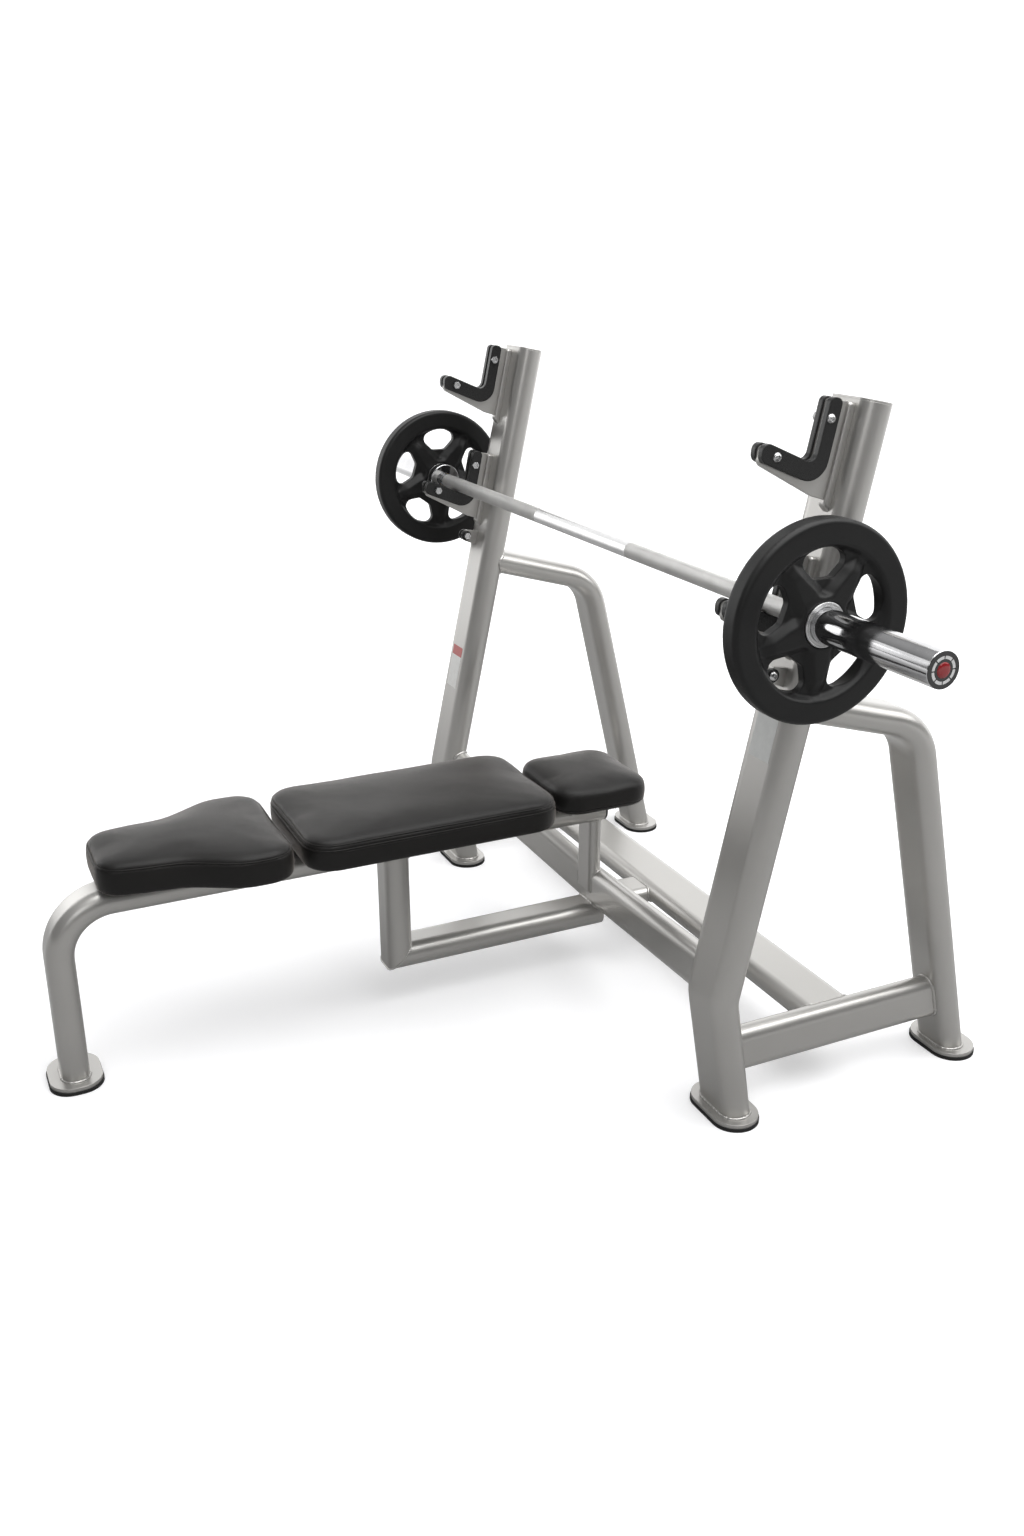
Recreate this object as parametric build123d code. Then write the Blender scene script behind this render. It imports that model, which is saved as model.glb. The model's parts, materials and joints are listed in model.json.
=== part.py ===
# Olympic bench press: welded flat-oval tube frame, three pads, two pairs of
# J-hooks, a barbell with turning sleeves and one grip plate a side.
#
# Everything is drawn in millimetres with the origin on the floor, on the symmetry
# plane, straight under the racked bar. +Z up, +X along the bar (right as seen from
# the foot end), -Y (front) towards the foot end of the bench, +Y (rear) behind the
# lifter's head. On export the whole machine moves along Y so that the origin is the
# centre of its footprint on the floor.
from build123d import *
import os
from math import sin, cos, tan, radians, hypot, pi, acos

os.makedirs("parts", exist_ok=True)

SIDES = (("right", 1), ("left", -1))

# ------------------------------------------------------- driving dimensions
# Flat-oval tubes: width and thickness of each section
WALL = 3.0
POST_W, POST_T = 106.0, 52.0        # uprights, width along X
LEG_W, LEG_T = 90.0, 48.0           # rear legs, width along X
BEAM_W, BEAM_T = 80.0, 40.0         # side rails and crossbeams
BENCH_W, BENCH_T = 80.0, 48.0       # the three bench tubes

POST_X = 566.0                      # plane of the uprights and side rails
LEG_X = 561.0                       # plane of the rear legs, a little inboard
# Centre-line points as (y, z)
POST_FOOT, POST_KINK, POST_TOP = (-14.0, 13.0), (-50.0, 229.0), (150.6, 1153.0)
LEG_FOOT, LEG_VERTEX, LEG_HEAD = (452.0, 13.0), (304.0, 642.0), (58.0, 712.0)

# Feet: steel plates on rubber soles that are a little longer and wider
SOLE_T, PLATE_STEEL_T = 6.0, 7.0
FLOOR_CUT_Z = SOLE_T + PLATE_STEEL_T    # top of the steel foot plates
SOLE_GROW = 3
POST_FOOT_L, LEG_FOOT_L, SIDE_FOOT_W = 140.0, 126.0, 80.0
POST_FOOT_Y, LEG_FOOT_Y = POST_FOOT[0] - 1, LEG_FOOT[0] + 4
BENCH_FOOT_L, BENCH_FOOT_W = 116.0, 90.0
BENCH_FOOT_Y = -993.0

BAR_Z = 875.0                       # racked bar axis height, at y = 0
BAR_R = 14.0

# From the tip of the bench foot sole to the back of the rear soles
FOOTPRINT_Y = (BENCH_FOOT_Y - (BENCH_FOOT_W + SOLE_GROW) / 2,
               LEG_FOOT_Y + (SIDE_FOOT_W + SOLE_GROW) / 2)
ORIGIN_SHIFT = -(FOOTPRINT_Y[0] + FOOTPRINT_Y[1]) / 2


# ------------------------------------------------------------------- helpers
def export(name, *shapes):
    """Write one STEP file; several shapes share it as a compound."""
    shape = Compound(children=list(shapes)) if len(shapes) > 1 else shapes[0]
    shape = shape.moved(Location((0, ORIGIN_SHIFT, 0)))
    shape.label = name
    export_step(shape, "parts/" + name + ".step")


def solid(shape):
    """Unwrap a boolean result that holds a single solid."""
    return shape.solids()[0] if len(shape.solids()) == 1 else shape


def biggest(shape):
    return max(shape.solids(), key=lambda piece: piece.volume)


def unit(start, end):
    """2-D unit vector from start to end."""
    step = (end[0] - start[0], end[1] - start[1])
    length = hypot(*step)
    return (step[0] / length, step[1] / length)


def rounded_wire(points, radii, place):
    """Closed outline of a 2-D polygon with a radius at each corner.

    radii is one value or a list; place maps a 2-D point into space."""
    count = len(points)
    corners = []                    # (start, arc middle or None, end)
    for i in range(count):
        corner = points[i]
        radius = radii[i] if isinstance(radii, (list, tuple)) else radii
        back = unit(corner, points[i - 1])
        ahead = unit(corner, points[(i + 1) % count])
        cos_angle = max(-1.0, min(1.0, back[0] * ahead[0] + back[1] * ahead[1]))
        angle = acos(cos_angle)
        if radius <= 0.01 or angle > pi - 0.02:
            corners.append((corner, None, corner))
            continue
        trim = radius / tan(angle / 2)
        start = (corner[0] + back[0] * trim, corner[1] + back[1] * trim)
        end = (corner[0] + ahead[0] * trim, corner[1] + ahead[1] * trim)
        bisector = unit((0, 0), (back[0] + ahead[0], back[1] + ahead[1]))
        depth = radius / sin(angle / 2) - radius
        middle = (corner[0] + bisector[0] * depth, corner[1] + bisector[1] * depth)
        corners.append((start, middle, end))
    curves = []
    for i in range(count):
        start, middle, end = corners[i]
        if middle is not None:
            curves.append(ThreePointArc(place(start), place(middle), place(end)))
        following = corners[(i + 1) % count][0]
        if hypot(following[0] - end[0], following[1] - end[1]) > 0.01:
            curves.append(Line(place(end), place(following)))
    return Wire([edge for curve in curves for edge in curve.edges()])


def rounded_prism(points, radii, place, direction):
    return Solid.extrude(Face(rounded_wire(points, radii, place)), Vector(*direction))


def flat_prism(points, radii, z0, z1):
    """Rounded prism standing on an (x, y) outline."""
    return rounded_prism(points, radii, lambda p: (p[0], p[1], z0), (0, 0, z1 - z0))


def rectangle(x0, x1, y0, y1):
    return [(x0, y0), (x1, y0), (x1, y1), (x0, y1)]


def hex_prism(radius, place, direction):
    """Hexagonal prism; radius is to the corners."""
    corners = [Vector(*place((radius * cos(radians(60 * k)), radius * sin(radians(60 * k)))))
               for k in range(6)]
    return Solid.extrude(Face(Wire.make_polygon(corners, close=True)), Vector(*direction))


def oval_bar(path, width, thickness, width_dir=(1, 0, 0)):
    """Solid flat-oval section swept along a path; width is measured along width_dir."""
    plane = Plane(origin=path @ 0, x_dir=width_dir, z_dir=path % 0)
    if width > thickness:
        slot = SlotOverall(width, thickness)
    else:
        slot = SlotOverall(thickness, width, rotation=90)
    return sweep(plane * slot, path=path)


def oval_tube(path, width, thickness, wall=WALL, width_dir=(1, 0, 0)):
    outer = oval_bar(path, width, thickness, width_dir)
    return outer - oval_bar(path, width - 2 * wall, thickness - 2 * wall, width_dir)


def cyl_x(x0, x1, radius, y=0.0, z=BAR_Z):
    """Cylinder along X, by default on the bar axis; the ends come in any order."""
    x0, x1 = sorted((x0, x1))
    plane = Plane(origin=(x0, y, z), x_dir=(0, 1, 0), z_dir=(1, 0, 0))
    return Solid.extrude(Face(Wire([Edge.make_circle(radius, plane)])), Vector(x1 - x0, 0, 0))


def ring_x(x0, x1, outer_r, inner_r):
    """Ring about the bar axis."""
    x0, x1 = sorted((x0, x1))
    return cyl_x(x0, x1, outer_r) - cyl_x(x0 - 1, x1 + 1, inner_r)


def bore_x(x, radius, y, z):
    """Cutter along X that reaches well past the parts around x."""
    return cyl_x(x - 40, x + 40, radius, y, z)


def box(x0, x1, y0, y1, z0, z1):
    return Solid.make_box(x1 - x0, y1 - y0, z1 - z0, Plane(origin=(x0, y0, z0)))


def mirror_x(shape):
    return shape.mirror(Plane.YZ)


def circle_edges(shape, test):
    return [e for e in shape.edges() if e.geom_type == GeomType.CIRCLE and test(e)]


# -------------------------------------------------------------- side frames
POST_BEND_R, LEG_BEND_R = 70, 95.0
RAIL_Z = 114.0                      # side rail centre height
RAIL_Y = (-20, 430)                 # rail ends before trimming
FOOT_OVERRUN = 25.0                 # tube beyond its foot point, cut off level
CAP_T = 3
POST_UP = unit(POST_KINK, POST_TOP)     # (y, z) direction up the upright


def bent_path(x, foot, bend, top, radius):
    """Centre line in a plane of constant x, starting beyond the foot point."""
    down = unit(bend, foot)
    start = (foot[0] + down[0] * FOOT_OVERRUN, foot[1] + down[1] * FOOT_OVERRUN)
    return FilletPolyline(*[(x, y, z) for y, z in (start, bend, top)], radius=radius)


def side_frame(side):
    """Upright, rear leg, side rail and top cap; filled shapes serve as cutters."""
    x = side * POST_X
    floor_cut = box(x - 90, x + 90, -120, 560, -60, FLOOR_CUT_Z)

    post_path = bent_path(x, POST_FOOT, POST_KINK, POST_TOP, POST_BEND_R)
    post_filled = oval_bar(post_path, POST_W, POST_T)
    post = oval_tube(post_path, POST_W, POST_T) - floor_cut

    leg_path = bent_path(side * LEG_X, LEG_FOOT, LEG_VERTEX, LEG_HEAD, LEG_BEND_R)
    leg_filled = oval_bar(leg_path, LEG_W, LEG_T)
    leg = biggest(oval_tube(leg_path, LEG_W, LEG_T) - post_filled - floor_cut)

    # The rail keeps only the run between the upright and the rear leg
    rail_path = Line((x, RAIL_Y[0], RAIL_Z), (x, RAIL_Y[1], RAIL_Z))
    rail_filled = oval_bar(rail_path, BEAM_T, BEAM_W)
    rail = biggest(oval_tube(rail_path, BEAM_T, BEAM_W) - post_filled - leg_filled)

    cap_path = Line((x, *POST_TOP),
                    (x, POST_TOP[0] + POST_UP[0] * CAP_T, POST_TOP[1] + POST_UP[1] * CAP_T))
    cap = oval_bar(cap_path, POST_W, POST_T)
    return {"post": solid(post), "post_filled": post_filled, "leg": solid(leg),
            "rail": solid(rail), "rail_filled": rail_filled, "cap": solid(cap)}


# --------------------------------------------------------------------- feet
BENCH_FOOT_CORNER_R = 40


def foot_plate(x, y, z0, z1, length, width, corner_r=None):
    """Flat plate; without a corner radius its ends are fully round."""
    outline = rectangle(x - length / 2, x + length / 2, y - width / 2, y + width / 2)
    return flat_prism(outline, corner_r or width / 2 - 0.01, z0, z1)


def plate_and_sole(x, y, length, width, corner_r=None):
    plate = foot_plate(x, y, SOLE_T, FLOOR_CUT_Z, length, width, corner_r)
    sole = foot_plate(x, y, 0, SOLE_T, length + SOLE_GROW, width + SOLE_GROW, corner_r)
    return plate, sole


# --------------------------------------------------------------- crossbeams
FRONT_BEAM_END = (-36.0, 247.0)     # y, z near the uprights
FRONT_BEAM_MID = (38.0, 160.0)      # y, z on the symmetry plane
REAR_BEAM_Y, REAR_BEAM_Z = 190.0, 132.0
REAR_BEAM_W = 100.0
LINK_Z, LINK_T = 128, 34


def half_front_beam(width, thickness):
    """Right half of the solid front crossbeam, cut on the symmetry plane."""
    middle = Vector(0, *FRONT_BEAM_MID)
    end = Vector(POST_X - 15, *FRONT_BEAM_END)
    along = (end - middle).normalized()
    vertical = Vector(0, 0, 1)
    across = (vertical - along * vertical.dot(along)).normalized()
    start = middle - along * 60
    plane = Plane(origin=start, x_dir=across, z_dir=along)
    run = extrude(plane * SlotOverall(width, thickness), amount=(end - start).length)
    return run & box(0, POST_X, -300, 300, 0, 500)


def make_front_beam(frames):
    """Crossbeam that drops and sweeps back from the uprights to the middle."""
    half = half_front_beam(BEAM_W, BEAM_T)
    filled = half + mirror_x(half)
    core = half_front_beam(BEAM_W - 2 * WALL, BEAM_T - 2 * WALL)
    beam = biggest(filled - (core + mirror_x(core))
                   - frames["right"]["post_filled"] - frames["left"]["post_filled"])
    return beam, filled


def make_rear_beam(frames):
    """Crossbeam lying flat between the side rails."""
    path = Line((-POST_X, REAR_BEAM_Y, REAR_BEAM_Z), (POST_X, REAR_BEAM_Y, REAR_BEAM_Z))
    filled = oval_bar(path, REAR_BEAM_W, BEAM_T, (0, 1, 0))
    beam = biggest(oval_tube(path, REAR_BEAM_W, BEAM_T, width_dir=(0, 1, 0))
                   - frames["right"]["rail_filled"] - frames["left"]["rail_filled"])
    return beam, filled


def make_beam_link(front_filled, rear_filled):
    """Short tube joining the two crossbeams on the centre line."""
    path = Line((0, FRONT_BEAM_MID[0], LINK_Z), (0, REAR_BEAM_Y, LINK_Z))
    return biggest(oval_tube(path, BEAM_W, LINK_T) - front_filled - rear_filled)


# -------------------------------------------------------------- bench tubes
SPINE_Z = 334.0
SPINE_END_Y = 38.0
SPINE_BEND_R = 95.0
LOWER_TUBE_Z = 109.0
MID_POST_Y = -389.0
MITRE_OVERRUN = 60                  # tube length past the mitre before it is cut
STUB_Y = 24.0
STUB_W, STUB_T, STUB_WALL = 62, 26, 2.5
PLUG_T = 4


def make_spine():
    """Tube rising from the bench foot and running back under the pads."""
    path = FilletPolyline((0, BENCH_FOOT_Y, FLOOR_CUT_Z), (0, BENCH_FOOT_Y, SPINE_Z),
                          (0, SPINE_END_Y, SPINE_Z), radius=SPINE_BEND_R)
    return biggest(oval_tube(path, BENCH_W, BENCH_T)), oval_bar(path, BENCH_W, BENCH_T)


def mitre_wedge(upper):
    """Half space above or below the 45 degree mitre of mid post and lower tube."""
    y0, z0 = MID_POST_Y - 200, LOWER_TUBE_Z - 200
    y1, z1 = MID_POST_Y + 600, LOWER_TUBE_Z + 600
    points = [(y0, z0), (y1, z1), (y0, z1)] if upper else [(y0, z0), (y1, z0), (y1, z1)]
    return rounded_prism(points, 0, lambda p: (-80, p[0], p[1]), (160, 0, 0))


def make_mid_post(spine_filled):
    path = Line((0, MID_POST_Y, LOWER_TUBE_Z - MITRE_OVERRUN), (0, MID_POST_Y, SPINE_Z))
    return biggest((oval_tube(path, BENCH_W, BENCH_T) & mitre_wedge(True)) - spine_filled)


def make_lower_tube(front_filled):
    path = Line((0, MID_POST_Y - MITRE_OVERRUN, LOWER_TUBE_Z),
                (0, FRONT_BEAM_MID[0], LOWER_TUBE_Z))
    return biggest((oval_tube(path, BENCH_W, BENCH_T) & mitre_wedge(False)) - front_filled)


def make_stub(front_filled, spine_filled):
    """Stub standing on the front crossbeam and carrying the spine's rear end."""
    path = Line((0, STUB_Y, FRONT_BEAM_MID[1]), (0, STUB_Y, SPINE_Z))
    return biggest(oval_tube(path, STUB_W, STUB_T, STUB_WALL) - front_filled - spine_filled)


def make_spine_plug():
    path = Line((0, SPINE_END_Y, SPINE_Z), (0, SPINE_END_Y + PLUG_T, SPINE_Z))
    return solid(oval_bar(path, BENCH_W, BENCH_T))


# --------------------------------------------------------------------- pads
PAD_Z0 = 365.0                      # underside of the cushions
PAD_Z1, HEAD_Z1 = 428.0, 419.0      # tops of the seat and back, and of the head pad
PAD_W, HEAD_W = 300.0, 220.0
SEAT_Y, BACK_Y, HEAD_Y = (-926.0, -601.0), (-588.0, -104.0), (-92.0, 106.0)
SEAT_NOSE_HALF = 94                 # half width that sets the narrow front of the seat
SEAT_RADII = [66, 120, 110, 90, 72]     # right half, front to rear
BACK_R, HEAD_R = 54, 50
BOARD_T, BOARD_INSET = 12, 15
POCKET_DEPTH, POCKET_INSET = 12.5, 14.5
MIN_INNER_R = 20

# Flat steel brackets across the spine: (y, length along X)
BRACKETS = [(-820, 140), (-660, 190), (-540, 220), (-200, 220), (-40, 170)]
BRACKET_HALF_W, BRACKET_CORNER_R = 20, 8
BRACKET_Z0 = SPINE_Z + BENCH_T / 2
BRACKET_Z1 = PAD_Z0 - 0.2
BOLT_END_DISTANCE = 18              # bolt centre from the bracket's end
BOLT_R, BOLT_HOLE_R = 3.9, 4.2
BOLT_HEAD_R = 7.4                   # to the hexagon's corners
BOLT_XY = [(s * (length / 2 - BOLT_END_DISTANCE), y) for y, length in BRACKETS for s in (-1, 1)]


def seat_outline(inset):
    y0, y1 = SEAT_Y[0] + inset, SEAT_Y[1] - inset
    nose, half = SEAT_NOSE_HALF - inset, PAD_W / 2 - inset
    right = [(nose - 12, y0), (nose + 2, -846), (nose + 8, -788), (half, -700), (half, y1)]
    return right + [(-x, y) for x, y in reversed(right)]


def rect_outline(y_range, width):
    """Outline function of a rectangular pad."""
    def outline(inset):
        half = width / 2 - inset
        return rectangle(-half, half, y_range[0] + inset, y_range[1] - inset)
    return outline


def make_pad(outline, radii, y_range, top_z):
    """Cushion with a pocket underneath, and the drilled board that sits in it."""
    def inner(inset, z0, z1):
        return flat_prism(outline(inset), [max(MIN_INNER_R, r - inset) for r in radii], z0, z1)

    body = flat_prism(outline(0.0), radii, PAD_Z0, top_z)
    cushion = body - inner(POCKET_INSET, PAD_Z0 - 1, PAD_Z0 + POCKET_DEPTH)
    board = inner(BOARD_INSET, PAD_Z0, PAD_Z0 + BOARD_T)
    for x, y in BOLT_XY:
        if y_range[0] < y < y_range[1]:
            hole_plane = Plane(origin=(x, y, PAD_Z0 - 1))
            board = board - Solid.make_cylinder(BOLT_HOLE_R, 11.0, hole_plane)
    return solid(cushion), solid(board)


def make_bracket(y_mid, length):
    outline = rectangle(-length / 2, length / 2, y_mid - BRACKET_HALF_W, y_mid + BRACKET_HALF_W)
    bracket = flat_prism(outline, BRACKET_CORNER_R, BRACKET_Z0, BRACKET_Z1)
    for x, y in BOLT_XY:
        if y == y_mid:
            hole_plane = Plane(origin=(x, y, BRACKET_Z0 - 10))
            bracket = bracket - Solid.make_cylinder(BOLT_HOLE_R, 40, hole_plane)
    return solid(bracket)


def make_pad_bolt(x, y):
    """Hexagon bolt pointing up, its head under the bracket."""
    head = hex_prism(BOLT_HEAD_R, lambda p: (x + p[0], y + p[1], BRACKET_Z0 - 5.3), (0, 0, 5.2))
    shank = Solid.make_cylinder(BOLT_R, 15.0, Plane(origin=(x, y, BRACKET_Z0 - 1)))
    return solid(head + shank)


# ------------------------------------------------------------------ J-hooks
# Local frame on the upright: n forward, square to it; u up along it. At u = 0 the
# n axis passes through the racked bar.
HOOK_X = 578.0                      # centre plane of the hooks
HOOK_STEP = 222.0                   # spacing of the two hook pairs along the upright
HOOK_PLATE_T = 8.0
HOOK_W = 28.0                       # total width of the lined hook
HOOK_TOP = 78.0                     # top of the liners, u
PLATE_TOP = HOOK_TOP - 2            # top of the plate and base strip, u
BASE_T, BASE_W = 11.0, 18           # strip welded to the upright
POST_FACE = POST_T / 2              # n of the upright's front face
BASE_FACE = POST_FACE + BASE_T
BAR_GAP = BAR_R + 0.35              # bar axis to the liner
ARM_ANGLE = radians(11.0)           # rise of the hook's arm towards its tip
SCREW_R, SCREW_HOLE_R = 4.0, 4.3

UP_Y, UP_Z = POST_UP
BAR_N = (BAR_Z - POST_KINK[1]) * UP_Y + POST_KINK[0] * UP_Z  # bar in front of the centre line
AXIS_Y, AXIS_Z = BAR_N * UP_Z, BAR_Z - BAR_N * UP_Y          # centre-line point at u = 0
N_BACK = BAR_N - BAR_GAP            # liner's face behind the bar


def hook_place(x, step=0.0):
    """Map (n, u) into space at a given x, shifted by step along the upright."""
    def place(p):
        n, u = p[0], p[1] + step
        return (x, AXIS_Y - n * UP_Z + u * UP_Y, AXIS_Z + n * UP_Y + u * UP_Z)
    return place


def arm_top(n):
    """Height u of the liner's sloping top under the bar."""
    return -BAR_GAP / cos(ARM_ANGLE) + (n - BAR_N) * tan(ARM_ANGLE)


LINER_TIP, PLATE_TIP = BAR_N + 82, BAR_N + 79

# Outlines as (n, u), each with a list of corner radii
LINER_OUTLINE = [
    (N_BACK - 21, HOOK_TOP), (N_BACK, HOOK_TOP), (N_BACK, arm_top(N_BACK)),
    (LINER_TIP, arm_top(LINER_TIP)), (LINER_TIP - 4, arm_top(LINER_TIP) - 29),
    (N_BACK - 21, arm_top(N_BACK - 21) - 27)]
LINER_RADII = [9, 9, 14.0, 11, 12, 32]
PLATE_OUTLINE = [
    (BASE_FACE, PLATE_TOP), (N_BACK - 3, PLATE_TOP), (N_BACK - 3, arm_top(N_BACK) - 4),
    (PLATE_TIP, arm_top(PLATE_TIP) - 3), (PLATE_TIP - 4, arm_top(PLATE_TIP) - 33),
    (BASE_FACE + 22, -62), (BASE_FACE, -64)]
PLATE_RADII = [0, 8, 14, 9, 12, 14, 0]
BASE_OUTLINE = [(POST_FACE, PLATE_TOP), (BASE_FACE, PLATE_TOP), (BASE_FACE, -72),
                (POST_FACE, -80)]
BASE_RADII = [0, 5, 8, 0]
HOOK_SCREWS = [(N_BACK - 8, 48), (BAR_N + 53, arm_top(BAR_N + 53) - 13)]


def through_screw(side, x, y, z, half):
    """Button-head screw from the outer face, hexagon nut on the inner face."""
    profile = Wire([*Line((0, 0), (0, 4.4)).edges(),
                    *ThreePointArc((0, 4.4), (4.9, 3.3), (7.2, 0)).edges(),
                    *Line((7.2, 0), (0, 0)).edges()])
    head = Solid.revolve(Face(profile), 360, Axis.Y)
    # The head is turned about +Y; lay it outwards along X
    head = head.rotate(Axis.Z, -90 * side).moved(Location((x + side * half, y, z)))
    socket_x = x + side * (half + 1.6)
    socket = hex_prism(2.9, lambda p: (socket_x, y + p[0], z + p[1]), (side * 10, 0, 0))
    shank = cyl_x(x - side * (half + 5), x + side * half, SCREW_R, y, z)
    nut_x = x - side * half
    nut = hex_prism(7.5, lambda p: (nut_x, y + p[0], z + p[1]), (-side * 6.5, 0, 0))
    nut = nut - bore_x(x, SCREW_R + 0.05, y, z)
    return solid((head + shank) - socket), solid(nut)


def make_hook_base(x, step):
    """Strip on the upright's front face, its long front edges rounded."""
    base = rounded_prism(BASE_OUTLINE, BASE_RADII, hook_place(x - BASE_W / 2, step),
                         (BASE_W, 0, 0))

    def n_of(point):
        return (point.Y - AXIS_Y) * -UP_Z + (point.Z - AXIS_Z) * UP_Y

    front_edges = [e for e in base.edges() if e.geom_type == GeomType.LINE and e.length > 100
                   and abs(n_of(e.center()) - BASE_FACE) < 0.5]
    return solid(base.fillet(4.5, front_edges))


def make_hook(side, step):
    """One hook: steel plate between two liners, its base strip, screws and nuts."""
    x = side * HOOK_X
    liner_t = (HOOK_W - HOOK_PLATE_T) / 2
    plate = rounded_prism(PLATE_OUTLINE, PLATE_RADII, hook_place(x - HOOK_PLATE_T / 2, step),
                          (HOOK_PLATE_T, 0, 0))
    plus_liner, minus_liner = [
        rounded_prism(LINER_OUTLINE, LINER_RADII, hook_place(x0, step), (liner_t, 0, 0))
        for x0 in (x + HOOK_PLATE_T / 2, x - HOOK_W / 2)]
    screws, nuts = [], []
    for spot in HOOK_SCREWS:
        _, y, z = hook_place(x, step)(spot)
        hole = bore_x(x, SCREW_HOLE_R, y, z)
        plate, plus_liner, minus_liner = plate - hole, plus_liner - hole, minus_liner - hole
        screw, nut = through_screw(side, x, y, z, HOOK_W / 2)
        screws.append(screw)
        nuts.append(nut)
    liners = [solid(plus_liner), solid(minus_liner)]
    if side < 0:
        liners.reverse()
    return {"plate": solid(plate), "outer": liners[0], "inner": liners[1],
            "base": make_hook_base(x, step), "screws": screws, "nuts": nuts}


# ------------------------------------------------------- bumpers and labels
LUG_OUTLINE = [(POST_FACE, -92), (54, -93), (66, -105), (54, -117), (POST_FACE, -122)]
LUG_RADII = [0, 8, 9, 8, 0]
LUG_T = 8
DISC_SPOT = (54, -105)              # n, u
DISC_R, DISC_T = 11.0, 8


def make_bumper(side):
    """Lug below the lower hook, a rubber disc on either side, screw and nut."""
    x = side * HOOK_X
    lug = rounded_prism(LUG_OUTLINE, LUG_RADII, hook_place(x - LUG_T / 2), (LUG_T, 0, 0))
    _, y, z = hook_place(x)(DISC_SPOT)
    hole = bore_x(x, SCREW_HOLE_R, y, z)
    discs = []
    for way in (1, -1):
        free_x = x + way * (LUG_T / 2 + DISC_T)
        disc = cyl_x(x + way * LUG_T / 2, free_x, DISC_R, y, z)
        rim = circle_edges(disc, lambda e: abs(e.center().X - free_x) < 0.1)
        discs.append(solid(disc.fillet(2.5, rim) - hole))
    screw, nut = through_screw(side, x, y, z, LUG_T / 2 + DISC_T)
    return solid(lug - hole), discs, screw, nut


def make_label(x0, x1, u0, u1, thickness=0.4):
    """Blank label just clear of the upright's front face."""
    n0 = POST_FACE + 0.02
    return rounded_prism(rectangle(n0, n0 + thickness, u0, u1), 0, hook_place(x0),
                         (x1 - x0, 0, 0))


# ------------------------------------------------------------------ barbell
SHAFT_HALF = 655.0                  # half of the shaft between the collars
SHAFT_END_X, SHAFT_END_R = 932, 13.5
GROOVE_X, GROOVE_W = 922, 2.2       # groove for the retaining ring
BAR_HALF = 952.0
SLEEVE_R, SLEEVE_BORE_R = 25.0, 17.0
SLEEVE_END_X = BAR_HALF - 1.5
BUSH_BORE_R = SHAFT_END_R + 0.05
BUSH_X = ((664, 704), (880, 920))
COLLAR_R, COLLAR_T = 33.0, 22.0
COLLAR_X0 = SHAFT_HALF + 1.5
BADGE_R = 10.5
BADGE_SEAT_X = BAR_HALF - 1.2       # floor of the badge's recess
BADGE_FACE_X = BAR_HALF + 0.6
RING_SEAT_X = BAR_HALF - 0.9        # floor of the cap ring's groove


def make_shaft():
    shaft = (cyl_x(-SHAFT_HALF - 6, SHAFT_HALF + 6, BAR_R)
             + cyl_x(-SHAFT_END_X, SHAFT_END_X, SHAFT_END_R))
    for s in (1, -1):
        shaft = shaft - ring_x(s * GROOVE_X, s * (GROOVE_X + GROOVE_W), 20, SHAFT_END_R - 1.2)
    return solid(shaft)


def make_retaining_ring(s):
    """Ring in the shaft groove, open at the top."""
    ring = ring_x(s * (GROOVE_X + 0.2), s * (GROOVE_X + 2), SHAFT_END_R + 2.2, SHAFT_END_R - 1.1)
    x0, x1 = sorted((s * (GROOVE_X - 2), s * (GROOVE_X + 4)))
    return solid(ring - box(x0, x1, -3, 3, BAR_Z + 8, BAR_Z + 20))


def make_sleeve(s):
    """Turned tube with a wider bore step at the outer end for the cap."""
    tube = ring_x(s * (SHAFT_HALF + 7.5), s * SLEEVE_END_X, SLEEVE_R, SLEEVE_BORE_R)
    tube = tube - ring_x(s * (BAR_HALF - 9), s * (BAR_HALF + 1), 21.5, SLEEVE_BORE_R - 2)
    tube = solid(tube)
    end_edge = circle_edges(tube, lambda e: abs(e.radius - SLEEVE_R) < 0.01
                            and abs(abs(e.center().X) - SLEEVE_END_X) < 0.1)
    return solid(tube.chamfer(0.8, None, end_edge))


def make_collar(s):
    """Collar around the sleeve, with a lip reaching in over the sleeve's end."""
    collar = ring_x(s * COLLAR_X0, s * (SHAFT_HALF + COLLAR_T), COLLAR_R, SLEEVE_R + 0.01)
    lip = ring_x(s * COLLAR_X0, s * (SHAFT_HALF + 7.4), SLEEVE_R + 0.5, 15.0)
    collar = solid(collar + lip)
    rims = circle_edges(collar, lambda e: abs(e.radius - COLLAR_R) < 0.01)
    return solid(collar.fillet(2.0, rims))


def make_bushings(s):
    return [solid(ring_x(s * x0, s * x1, SLEEVE_BORE_R - 0.01, BUSH_BORE_R)) for x0, x1 in BUSH_X]


def make_cap(s):
    """Sleeve end cap with a round recess and a ring groove in its outer face."""
    cap = (cyl_x(s * (BAR_HALF - 8.9), s * BAR_HALF, 21.4)
           + cyl_x(s * (BAR_HALF - 1.4), s * BAR_HALF, SLEEVE_R - 0.4))
    cap = cap - cyl_x(s * BADGE_SEAT_X, s * (BAR_HALF + 1), BADGE_R + 0.1)
    cap = cap - ring_x(s * RING_SEAT_X, s * (BAR_HALF + 1), 18.7, 14.3)
    return solid(cap)


def make_cap_ring(s):
    return solid(ring_x(s * RING_SEAT_X, s * (BAR_HALF - 0.1), 18.6, 14.4))


def make_badge(s):
    badge = solid(cyl_x(s * BADGE_SEAT_X, s * BADGE_FACE_X, BADGE_R))
    rim = circle_edges(badge, lambda e: abs(abs(e.center().X) - BADGE_FACE_X) < 0.05)
    return solid(badge.fillet(0.9, rim))


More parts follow.
